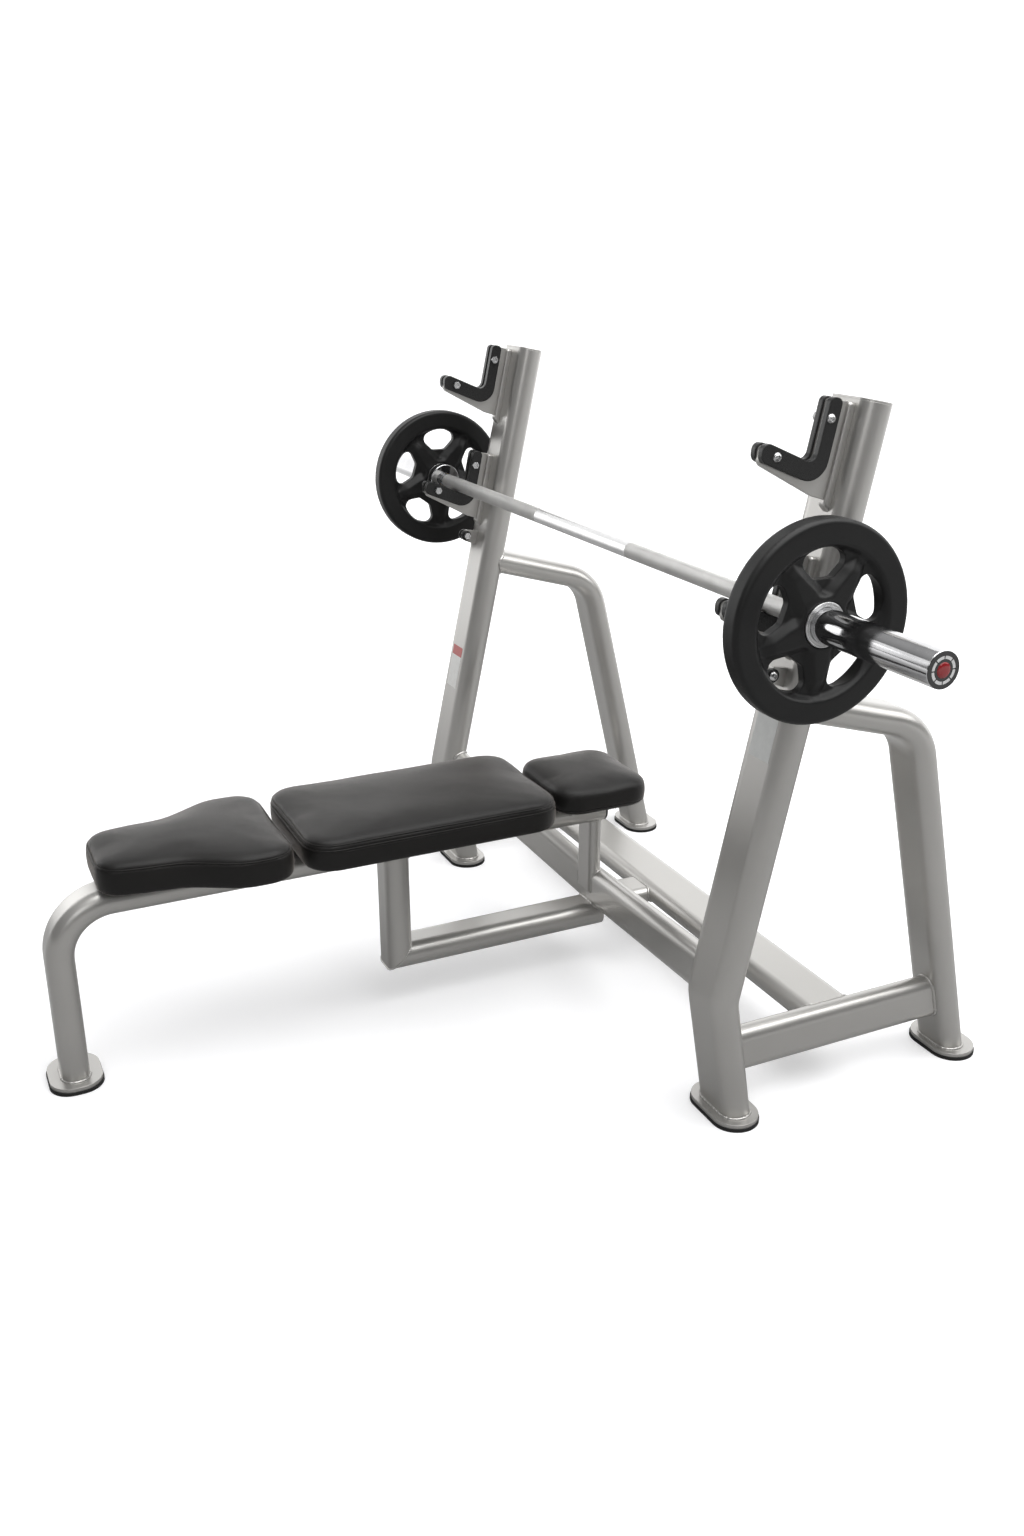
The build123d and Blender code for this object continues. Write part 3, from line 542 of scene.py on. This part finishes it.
def loop_lengths(points):
    """Running length round a closed loop, from 0 to its full length."""
    steps = np.linalg.norm(np.roll(points, -1, 0) - points, axis=1)
    return np.concatenate([[0], np.cumsum(steps)])


def point_along(points, lengths, distance):
    """The point at a distance round a closed loop, and the index of its span."""
    j = int(np.searchsorted(lengths, distance, side="right")) - 1
    f = (distance - lengths[j]) / (lengths[j + 1] - lengths[j])
    return points[j] * (1 - f) + points[(j + 1) % len(points)] * f, j


def round_outline(corners, radii, step=0.008):
    """Closed outline with rounded corners, resampled evenly."""
    outline = []
    count = len(corners)
    for i in range(count):
        corner = Vector(corners[i])
        before, after = Vector(corners[i - 1]), Vector(corners[(i + 1) % count])
        to_before, to_after = (before - corner).normalized(), (after - corner).normalized()
        angle = math.acos(max(-1, min(1, to_before.dot(to_after))))
        if angle > math.pi - 0.02:      # nearly straight: nothing to round
            outline.append(corner)
            continue
        cut = min(radii[i] / math.tan(angle / 2),
                  0.49 * (before - corner).length, 0.49 * (after - corner).length)
        radius = cut * math.tan(angle / 2)
        centre = corner + (to_before + to_after).normalized() * (radius / math.sin(angle / 2))
        start, end = corner + to_before * cut, corner + to_after * cut
        start_angle = math.atan2(start.y - centre.y, start.x - centre.x)
        end_angle = math.atan2(end.y - centre.y, end.x - centre.x)
        sweep = (end_angle - start_angle + math.pi) % (2 * math.pi) - math.pi
        for k in range(9):
            a = start_angle + sweep * k / 8
            outline.append(centre + Vector((math.cos(a), math.sin(a))) * radius)
    lengths = [0.0]
    for i in range(len(outline)):
        lengths.append(lengths[-1] + (outline[(i + 1) % len(outline)] - outline[i]).length)
    samples = max(24, int(lengths[-1] / step))
    even = []
    j = 0
    for k in range(samples):
        distance = lengths[-1] * k / samples
        while lengths[j + 1] < distance:
            j += 1
        f = (distance - lengths[j]) / (lengths[j + 1] - lengths[j])
        even.append(outline[j].lerp(outline[(j + 1) % len(outline)], f))
    return even


def inset(outline, distance):
    """Offset a counterclockwise outline inwards."""
    result = []
    for i in range(len(outline)):
        along = (outline[(i + 1) % len(outline)] - outline[i - 1]).normalized()
        result.append(outline[i] + Vector((-along.y, along.x)) * distance)
    return result


# ---------------------------------------------------------------- cushions
PIPING = black_vinyl("vinyl_piping")
THREAD = thread("black_thread", colour=(0.030, 0.028, 0.027))

COVER_INSET = 0.0015        # cover inside the outline of its solid
CROWN_ROOM = 0.006          # height left free above the cover for the crown
SWELL = 0.0035              # most that the cover bulges under pressure
SWELL_FRAMES = 20
GROOVE_DEPTH = 0.0011
PIPING_RADIUS = 0.0013
STITCH_PITCH = 0.0052
STITCH_START = 0.0008       # start of each stitch within its pitch
STITCH_SHARE = 0.66         # share of the pitch that is thread
STITCH_DROP = 0.0036        # stitches below the middle of the piping
STITCH_SIDES = 5
# Share of the stitch's length, radius there
STITCH_STATIONS = ((0, 0.00012), (0.2, 0.00036), (0.8, 0.00036), (1, 0.00012))


def cushion_solid(name, outline, bottom, height):
    # Inset, height above the underside: from the underside round to the top edge
    profile = [
        (0.012, 0.0), (0.0045, 0.0015), (0.0012, 0.006), (0.0004, 0.014),
        (0.0, height * 0.5),
        (0.0004, height - 0.020), (0.0012, height - 0.012), (0.0040, height - 0.0055),
        (0.0090, height - 0.0020), (0.016, height),
    ]
    count = len(outline)
    points, faces = [], []
    for depth, rise in profile:
        points += [(p.x, p.y, bottom + rise) for p in inset(outline, depth + COVER_INSET)]
    for row in range(len(profile) - 1):
        faces += band(row * count, (row + 1) * count, count)
    faces += end_caps((len(profile) - 1) * count, count)
    obj = link_object(name, mesh_from(name, points, faces))
    voxel_remesh(obj, 0.005)
    return obj


def swell(obj, rest, bottom):
    """Inflate the cover as pressurised cloth pinned at its underside; returns its points."""
    pin = obj.vertex_groups.new(name="pin")
    pin.add([i for i, p in enumerate(rest) if p[2] < bottom + 0.004], 1.0, "ADD")
    cloth = obj.modifiers.new("Cloth", "CLOTH")
    settings = cloth.settings
    settings.quality = 6
    settings.mass = 0.3
    settings.tension_stiffness = 22
    settings.compression_stiffness = 22
    settings.shear_stiffness = 12
    settings.bending_stiffness = 1.2
    settings.use_pressure = True
    settings.uniform_pressure_force = 2.0
    settings.effector_weights.gravity = 0.0
    settings.vertex_group_mass = "pin"
    cloth.collision_settings.use_collision = False
    cloth.collision_settings.use_self_collision = False
    cloth.point_cache.frame_start = 1
    cloth.point_cache.frame_end = SWELL_FRAMES
    for f in range(1, SWELL_FRAMES + 1):
        scene.frame_set(f)
    evaluated = obj.evaluated_get(bpy.context.evaluated_depsgraph_get())
    shift = read_points(evaluated.to_mesh()) - rest
    evaluated.to_mesh_clear()
    obj.modifiers.remove(cloth)
    scene.frame_set(1)
    # Scaled so that the fullest point moves by no more than SWELL
    largest = float(np.linalg.norm(shift, axis=1).max())
    return rest + shift * min(1.0, SWELL / max(largest, 1e-9))


def crown_top(points, rest, edge, box, bottom, height, crown):
    """Raise the middle of the top, and keep the cover close to its solid."""
    low, high = box
    x, y, z = rest.T
    top_share = np.clip((z - (bottom + height * 0.55)) / (height * 0.45), 0, 1)
    from_edge = np.min(np.linalg.norm(rest[:, None, :2] - edge[None, ::2, :], axis=2), axis=1)
    points[:, 2] += top_share * (crown * (1 - np.exp(-(from_edge / 0.045) ** 1.3)))
    # Shallow waves of a padded top
    points[:, 2] += top_share * 0.0006 * np.sin(x * 41 + y * 13) * np.sin(y * 29 - x * 7)
    points[:, 2] = np.maximum(points[:, 2], bottom + 0.0004)
    points[:, 0] = np.clip(points[:, 0], low.x - 0.004, high.x + 0.004)
    points[:, 1] = np.clip(points[:, 1], low.y - 0.0035, high.y + 0.0035)


def seam_line(tree, outline, z):
    """Points and normals where a level line round the outline meets the cover."""
    ring = inset(outline, COVER_INSET)
    line, normals = [], []
    for i in range(len(ring)):
        along = (ring[(i + 1) % len(ring)] - ring[i - 1]).normalized()
        outward = Vector((along.y, -along.x, 0))
        source = Vector((ring[i].x, ring[i].y, z)) + outward * 0.05
        place, normal = tree.ray_cast(source, -outward)[:2]
        if place is not None:
            line.append(place)
            normals.append(normal)
    return np.array(line), np.array(normals)


def press_grooves(bm, edge, heights):
    for v in bm.verts:
        for z in heights:
            dz = abs(v.co.z - z)
            if dz < 0.006 and np.min(np.hypot(edge[:, 0] - v.co.x, edge[:, 1] - v.co.y)) < 0.02:
                v.co -= v.normal * GROOVE_DEPTH * math.exp(-(dz / 0.0025) ** 2)


def stitches(name, line, normals):
    """Short tapered threads in a row under the piping."""
    points, faces = [], []
    lengths = loop_lengths(line)
    count = int(lengths[-1] / STITCH_PITCH)
    sides = STITCH_SIDES
    drop = np.array((0, 0, -STITCH_DROP))
    for k in range(count):
        distance = k * lengths[-1] / count + STITCH_START
        start, i = point_along(line, lengths, distance)
        end, j = point_along(line, lengths, distance + STITCH_PITCH * STITCH_SHARE)
        start = start + drop + normals[i] * 0.0003
        end = end + drop + normals[j] * 0.0003
        along = end - start
        length = np.linalg.norm(along)
        along = along / length
        across = np.cross(along, normals[i])
        across /= np.linalg.norm(across)
        up = np.cross(across, along)
        base = len(points)
        for share, radius in STITCH_STATIONS:
            centre = start + along * length * share
            points += [centre + across * u + up * v for u, v in circle(radius, sides)]
        for row in range(3):
            faces += band(base + row * sides, base + (row + 1) * sides, sides)
        faces += [tuple(base + i for i in cap) for cap in end_caps(3 * sides, sides)]
    dress(link_object(name, mesh_from(name, points, faces)), THREAD, "frame")


def cushion(name, node, corners, radii, crown, seams):
    """Padded cover in place of a CAD pad; seams are depths below the top of its sides."""
    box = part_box(node)
    bottom, top = box[0].z, box[1].z - CROWN_ROOM
    height = top - bottom
    outline = round_outline(corners, radii)
    edge = np.array([(p.x, p.y) for p in outline])

    obj = cushion_solid(name, outline, bottom, height)
    rest = read_points(obj.data)
    points = swell(obj, rest, bottom)
    crown_top(points, rest, edge, box, bottom, height, crown)
    write_points(obj.data, points)
    # Takes out the steps left by the voxels
    apply_modifier(obj, "smooth", "SMOOTH", factor=0.5, iterations=6)
    apply_modifier(obj, "sub", "SUBSURF", levels=1, render_levels=1)

    bm = bmesh.new()
    bm.from_mesh(obj.data)
    tree = BVHTree.FromBMesh(bm)
    heights = [top - depth for depth in seams]
    seam_lines = [seam_line(tree, outline, z) for z in heights]
    press_grooves(bm, edge, heights)
    bm.to_mesh(obj.data)
    bm.free()
    dress(obj, MATERIALS["vinyl"], "frame")
    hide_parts(node)

    for number, (line, normals) in enumerate(seam_lines, 1):
        if len(line) < 10:      # the seam misses the cover
            continue
        for _ in range(3):
            line = (np.roll(line, 1, 0) + 2 * line + np.roll(line, -1, 0)) / 4
        bead(f"{name}_piping_{number}", line + normals * 0.0001, PIPING_RADIUS,
             PIPING, "frame")
        stitches(f"{name}_stitches_{number}", line, normals)


def seat_cushion():
    """The seat narrows away from the bar."""
    low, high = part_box("seat_pad")
    # Half width, y, corner radius
    stations = [
        (0.082, low.y, 0.066),
        (0.096, BAR_Y - 0.846, 0.120),
        (0.102, BAR_Y - 0.788, 0.110),
        (high.x, BAR_Y - 0.700, 0.090),
        (high.x, high.y, 0.072),
    ]
    corners = [(x, y) for x, y, _ in stations] + [(-x, y) for x, y, _ in reversed(stations)]
    radii = [r for _, _, r in stations]
    cushion("seat_cushion", "seat_pad", corners, radii + radii[::-1],
            crown=0.008, seams=(0.0085,))


def box_cushion(name, node, corner_radius, crown, seams):
    low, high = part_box(node)
    corners = [(low.x, low.y), (high.x, low.y), (high.x, high.y), (low.x, high.y)]
    cushion(name, node, corners, [corner_radius] * 4, crown, seams)


seat_cushion()
box_cushion("back_cushion", "back_pad", corner_radius=0.054, crown=0.007, seams=(0.0070, 0.0155))
box_cushion("head_cushion", "head_pad", corner_radius=0.050, crown=0.009, seams=(0.040,))

# ------------------------------------------------------------- grip plates
OPENINGS = 5
FIRST_OPENING = 90          # degrees
OPENING_PITCH = 360 // OPENINGS
# Corners of an opening: distance from the axis, angle off its middle (degrees), radius
OPENING_CORNERS = (
    (0.0635, 14.0, 0.010), (0.0635, -14.0, 0.010),
    (0.1005, -27.0, 0.0145), (0.1125, 0, 0.060), (0.1005, 27.0, 0.0145),
)
# Half thicknesses
RIM_HALF = 0.0182
HUB_HALF = 0.0180
HUB_FLAT_EXTRA = 0.0004     # flat round the steel hub, above HUB_HALF
WEB_HALF = 0.0070
TREAD_START = 0.1385        # radius where the rim starts to round over
TREAD_DROP = 0.0070         # fall of the face at the very edge


def smoothstep(start, end, value):
    t = np.clip((value - start) / (end - start), 0, 1)
    return t * t * (3 - 2 * t)


def plate_blank(side, radius, bore, half_width):
    """Flat disc with a bore and five openings, lying in the xy plane."""
    curve = bpy.data.curves.new("plate_outline_" + side, "CURVE")
    curve.dimensions = "2D"
    curve.fill_mode = "BOTH"
    curve.extrude = half_width

    def add_loop(points):
        spline = curve.splines.new("POLY")
        spline.points.add(len(points) - 1)
        spline.use_cyclic_u = True
        for target, (u, v) in zip(spline.points, points):
            target.co = (u, v, 0, 1)

    add_loop(circle(radius, 360))
    add_loop(circle(bore, 96))
    radii = [r for _, _, r in OPENING_CORNERS]
    for k in range(OPENINGS):
        middle = math.radians(FIRST_OPENING + OPENING_PITCH * k)
        corners = []
        for distance, offset, _ in OPENING_CORNERS:
            a = middle + math.radians(offset)
            corners.append((distance * math.cos(a), distance * math.sin(a)))
        add_loop([(p.x, p.y) for p in round_outline(corners, radii, step=0.0015)])
    holder = link_object("tmp", curve)
    bpy.context.view_layer.update()
    mesh = bpy.data.meshes.new_from_object(
        holder.evaluated_get(bpy.context.evaluated_depsgraph_get()))
    bpy.data.objects.remove(holder)
    bpy.data.curves.remove(curve)
    return mesh


def plate_half_thickness(u, v, radius):
    """Half thickness at a point of the face: hub, five spokes, web and rounded rim."""
    r = np.hypot(u, v)
    pitch = math.radians(OPENING_PITCH)
    # Distance from the nearest spoke's centre line, half way between the openings
    first_spoke = math.radians(FIRST_OPENING + OPENING_PITCH / 2)
    off_spoke = (np.arctan2(v, u) - first_spoke + pitch / 2) % pitch - pitch / 2
    aside = np.abs(r * np.sin(off_spoke))
    spoke_half = 0.0135 - 0.0070 * smoothstep(0.045, 0.088, r)
    flank_slope = 0.74 - 0.14 * smoothstep(0.060, 0.095, r)
    star = HUB_HALF - (r - 0.040).clip(0) * 0.045
    star = star - np.clip(aside - spoke_half, 0, None) * flank_slope
    star = star - 0.0055 * smoothstep(0.080, 0.102, r)
    star = np.maximum(star, WEB_HALF)
    hub_share = 1 - smoothstep(0.037, 0.045, r)
    half = star * (1 - hub_share) + (HUB_HALF + HUB_FLAT_EXTRA) * hub_share
    rim_share = smoothstep(0.102, 0.113, r)
    half = half * (1 - rim_share) + RIM_HALF * rim_share
    edge = np.clip((r - TREAD_START) / (radius - TREAD_START), 0, 1)
    return half - (1 - np.sqrt(np.clip(1 - edge ** 2.2, 0, 1))) * TREAD_DROP


def grip_plate(side):
    low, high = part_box("plate_rubber_" + side)
    middle, half_width = (low.x + high.x) / 2, (high.x - low.x) / 2
    radius = (high.z - low.z) / 2
    hub_low, hub_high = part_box("plate_hub_" + side)
    bore = (hub_high.z - hub_low.z) / 2 * 1.001
    obj = link_object("grip_plate_" + side, plate_blank(side, radius, bore, half_width))
    voxel_remesh(obj, 0.0016)
    # Sculpt the faces and stand the disc up on the bar's axis
    u, v, w = read_points(obj.data).T
    x = middle + w / half_width * plate_half_thickness(u, v, radius)
    write_points(obj.data, np.stack([x, BAR_Y + u, BAR_Z + v], axis=1))
    apply_modifier(obj, "smooth", "SMOOTH", factor=0.5, iterations=7)
    face_outwards(obj.data)
    dress(obj, MATERIALS["plate_rubber"], "plate_" + side)
    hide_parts("plate_rubber_" + side)


def hub_lips(side, sign):
    """Rolled lips on the faces of a steel hub."""
    low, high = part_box("plate_hub_" + side)
    outer = (high.z - low.z) / 2
    # Face (1 away from the middle of the bar, -1 towards it), ring radius, bead radius
    lips = ((1, outer - 0.0018, 0.0018), (1, 0.0272, 0.0012), (-1, outer - 0.0018, 0.0015))
    for number, (face, ring_radius, bead_radius) in enumerate(lips, 1):
        x = (high.x if face * sign > 0 else low.x) - face * sign * 0.0003
        bead(f"hub_lip_{side}_{number}", bar_ring(x, ring_radius, 96), bead_radius,
             MATERIALS["plate_hub"], "plate_" + side, segments=10)


def badge_dome(side, sign):
    """Low dome over the face of a cap badge."""
    rows, segments = 8, 48
    rise, sunk = 0.0018, 0.0003
    low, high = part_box("cap_badge_" + side)
    radius = (high.z - low.z) / 2 - 0.0006
    face_x = high.x if sign > 0 else low.x
    points, faces = [], []
    for row in range(rows):
        a = row / rows * math.pi / 2
        x = face_x + sign * (rise * math.sin(a) - sunk)
        points += bar_ring(x, radius * math.cos(a), segments)
    points.append((face_x + sign * (rise - sunk), BAR_Y, BAR_Z))
    for row in range(rows - 1):
        faces += band(row * segments, (row + 1) * segments, segments)
    last, apex = (rows - 1) * segments, rows * segments
    faces += [(last + k, last + (k + 1) % segments, apex) for k in range(segments)]
    faces.append(tuple(range(segments))[::-1])
    name = "badge_dome_" + side
    mesh = mesh_from(name, points, faces)
    face_outwards(mesh)
    dress(link_object(name, mesh), MATERIALS["cap_badge"], "sleeve_" + side)


for build in (lambda side, sign: grip_plate(side), hub_lips, badge_dome):
    for side, sign in SIDES:
        build(side, sign)

# -------------------------------------------------------------- weld beads
WELD_PAINT = silver_paint("silver_coat_weld", bevel=0.0, tone=0.98)
WELD_SECTORS = 72
# Child, parent, bead radius, name ending; {0} is the side
SIDE_WELDS = (
    ("rear_leg_{0}", "upright_{0}", 0.0032, ""),
    ("side_rail_{0}", "upright_{0}", 0.0030, "_front"),
    ("side_rail_{0}", "rear_leg_{0}", 0.0030, "_rear"),
    ("front_crossbeam", "upright_{0}", 0.0032, "_{0}"),
    ("rear_crossbeam", "side_rail_{0}", 0.0028, "_{0}"),
    ("upright_{0}", "side_foot_plates", 0.0030, "_foot"),
    ("rear_leg_{0}", "side_foot_plates", 0.0030, "_foot"),
)
MIDDLE_WELDS = (
    ("crossbeam_link", "front_crossbeam", 0.0026, "_front"),
    ("crossbeam_link", "rear_crossbeam", 0.0026, "_rear"),
    ("bench_spine", "bench_foot_plate", 0.0030, "_foot"),
    ("mid_post", "bench_spine", 0.0028, "_top"),
    ("mid_post", "lower_tube", 0.0016, "_mitre"),
    ("lower_tube", "front_crossbeam", 0.0032, "_rear"),
    ("rear_stub", "front_crossbeam", 0.0022, ""),
    ("rear_stub", "bench_spine", 0.0020, "_top"),
)


@cache
def surface_tree(node):
    mesh = nodes[node].data
    return BVHTree.FromPolygons([v.co.copy() for v in mesh.vertices],
                                [tuple(p.vertices) for p in mesh.polygons])


def touching_points(child, parent):
    """Vertices of the child that lie on the parent's surface."""
    tree = surface_tree(parent)
    points = []
    for v in nodes[child].data.vertices:
        place, _, _, distance = tree.find_nearest(v.co, 0.004)
        if place is not None and distance < 0.0006:
            points.append(tuple(v.co))
    return np.array(points)


def joint_rim(points):
    """Outer rim of the joint, in order round it, without the bore."""
    offsets = points - points.mean(0)
    plane = np.linalg.svd(offsets, full_matrices=False)[2]
    u, v = offsets @ plane[0], offsets @ plane[1]
    angles, radii = np.arctan2(v, u), np.hypot(u, v)
    furthest = {}
    for i in range(len(points)):
        sector = int((angles[i] + math.pi) / (2 * math.pi) * WELD_SECTORS) % WELD_SECTORS
        if sector not in furthest or radii[i] > radii[furthest[sector]]:
            furthest[sector] = i
    order = [furthest[sector] for sector in sorted(furthest)]
    rim = []
    for n, i in enumerate(order):
        nearby = max(radii[order[(n + j) % len(order)]] for j in (-2, -1, 0, 1, 2))
        if radii[i] >= 0.80 * nearby:
            rim.append(points[i])
    return np.array(rim)


def weld_ripple(i):
    return 1.0 + 0.10 * math.sin(i * 1.57) + 0.05 * math.sin(i * 0.37 + 1.0)


def weld(child, parent, radius, ending):
    """Bead round the joint of two pieces, if they touch at enough points."""
    points = touching_points(child, parent)
    if len(points) < 8:
        return
    rim = joint_rim(points)
    if len(rim) < 6:
        return
    lengths = loop_lengths(rim)
    count = max(60, int(lengths[-1] / 0.0022))
    path = [point_along(rim, lengths, lengths[-1] * k / count)[0] for k in range(count)]
    bead(f"weld_{child}{ending}", path, radius, WELD_PAINT, "frame",
         segments=10, ripple=weld_ripple)


for side, _ in SIDES:
    for child, parent, radius, ending in SIDE_WELDS:
        weld(child.format(side), parent.format(side), radius, ending.format(side))
for joint in MIDDLE_WELDS:
    weld(*joint)

# ----------------------------------------------------- stage, light, camera
AZIMUTH = math.radians(65.2)        # of the camera, from -y towards +x
ELEVATION = math.radians(21.0)
ROLL = math.radians(-0.3)
AWAY = Vector((-math.sin(AZIMUTH), math.cos(AZIMUTH), 0))       # level, away from the camera
ACROSS = Vector((math.cos(AZIMUTH), math.sin(AZIMUTH), 0))


def floor_material():
    """White floor; the camera sees a glow that other rays don't."""
    m = Material("studio_floor", roughness=0.6)
    patches = m.noise(scale=2.0, detail=3)
    x, y, z = m.axes()
    squares = [m.math("POWER", axis, 2) for axis in (x, y, z)]
    radius = m.math("SQRT", m.add(m.add(squares[0], squares[1]), squares[2]))
    seen_glow = m.remap(radius, span=(0.9, 2.6), to=(0.27, 0.62))
    depth = m.add(m.times(x, AWAY.x), m.times(y, AWAY.y))
    unseen_glow = m.math("MAXIMUM", m.remap(depth, span=(2.2, 4.5), to=(0.0, 1.15)),
                         m.remap(radius, span=(2.2, 5.5), to=(0.0, 0.60)))
    camera_ray = m.node("ShaderNodeLightPath").outputs["Is Camera Ray"]
    glow = m.add(m.times(seen_glow, camera_ray),
                 m.times(unseen_glow, m.subtract(1.0, camera_ray)))
    unseen = m.ramp(patches, low=grey(0.36), high=grey(0.39))
    seen = m.ramp(patches, low=(0.79, 0.79, 0.80), high=(0.81, 0.81, 0.82))
    m.set(Base_Color=m.mix(camera_ray, unseen, seen), Specular_IOR_Level=0.2,
          Emission_Color=grey(1.0), Emission_Strength=glow)
    return m.data


def build_floor():
    """Floor that curves up into a wall away from the camera."""
    near, wall, wall_top, bend = 9.0, 6.0, 6.0, 1.6
    profile = [(-near, 0.0)]            # distance away from the camera, height
    for k in range(13):
        a = math.pi / 2 * k / 12
        profile.append((wall - bend + bend * math.sin(a), bend - bend * math.cos(a)))
    profile.append((wall, wall_top))
    bm = bmesh.new()
    rows = [[bm.verts.new(AWAY * depth + ACROSS * width + Vector((0, 0, height)))
             for width in (-14, -5, 5, 14)] for depth, height in profile]
    for row, following in zip(rows, rows[1:]):
        for j in range(3):
            bm.faces.new((row[j], row[j + 1], following[j + 1], following[j]))
    mesh = bpy.data.meshes.new("floor")
    bm.to_mesh(mesh)
    bm.free()
    for face in mesh.polygons:
        face.use_smooth = True
    floor = link_object("floor", mesh)
    mesh.materials.append(floor_material())


def build_world():
    """Grey light that brightens upwards; the camera sees plain white all round."""
    world = bpy.data.worlds.new("studio")
    scene.world = world
    world.use_nodes = True
    tree = world.node_tree
    link = tree.links.new
    background = tree.nodes["Background"]
    coords = tree.nodes.new("ShaderNodeTexCoord")
    split = tree.nodes.new("ShaderNodeSeparateXYZ")
    ramp = tree.nodes.new("ShaderNodeValToRGB")
    link(coords.outputs["Generated"], split.inputs[0])
    link(split.outputs["Z"], ramp.inputs["Fac"])
    for stop, position, shade in zip(ramp.color_ramp.elements, (0.40, 0.95), (0.26, 1.0)):
        stop.position = position
        stop.color = (*grey(shade), 1)
    light_path = tree.nodes.new("ShaderNodeLightPath")
    mix = tree.nodes.new("ShaderNodeMix")
    mix.data_type = "RGBA"
    link(light_path.outputs["Is Camera Ray"], mix.inputs[0])
    link(ramp.outputs["Color"], mix.inputs[6])
    mix.inputs[7].default_value = (*grey(1.6), 1)
    link(mix.outputs[2], background.inputs["Color"])
    background.inputs["Strength"].default_value = 0.62


def area_light(name, place, target, size, power):
    light = bpy.data.lights.new(name, "AREA")
    light.energy = power
    light.shape = "RECTANGLE"
    light.size = light.size_y = size
    obj = link_object(name, light)
    obj.location = place
    aim = Vector(target) - Vector(place)
    obj.rotation_euler = aim.to_track_quat("-Z", "Y").to_euler()


def build_camera():
    data = bpy.data.cameras.new("camera")
    camera = link_object("camera", data)
    data.sensor_width = 36
    data.lens = 32.23359375
    data.clip_end = 100
    place = (2.1976, -1.1597 + BAR_Y, 1.3705)
    backward = Vector((math.sin(AZIMUTH) * math.cos(ELEVATION),
                       -math.cos(AZIMUTH) * math.cos(ELEVATION), math.sin(ELEVATION)))
    level = (-backward).cross(Vector((0, 0, 1))).normalized()
    upright = level.cross(-backward)
    right = level * math.cos(ROLL) + upright * math.sin(ROLL)
    up = upright * math.cos(ROLL) - level * math.sin(ROLL)
    rows = list(zip(right, up, backward, place))
    camera.matrix_world = Matrix((*rows, (0, 0, 0, 1)))
    scene.camera = camera


build_floor()
build_world()
area_light("key_top", place=(1.1, 0.7, 3.8), target=(0.15, 0.0, 0.3), size=4.2, power=182)
area_light("key_front", place=(3.4, -3.0, 2.9), target=(0.0, 0.0, 0.6), size=2.0, power=19)
area_light("fill_left", place=(-3.6, -2.4, 2.2), target=(0.0, 0.0, 0.6), size=2.6, power=18)
area_light("rim_back", place=(1.8, 4.2, 2.6), target=(0.0, 0.2, 0.7), size=2.0, power=38)
build_camera()
scene.view_settings.view_transform = "Standard"
scene.view_settings.exposure = 0.0
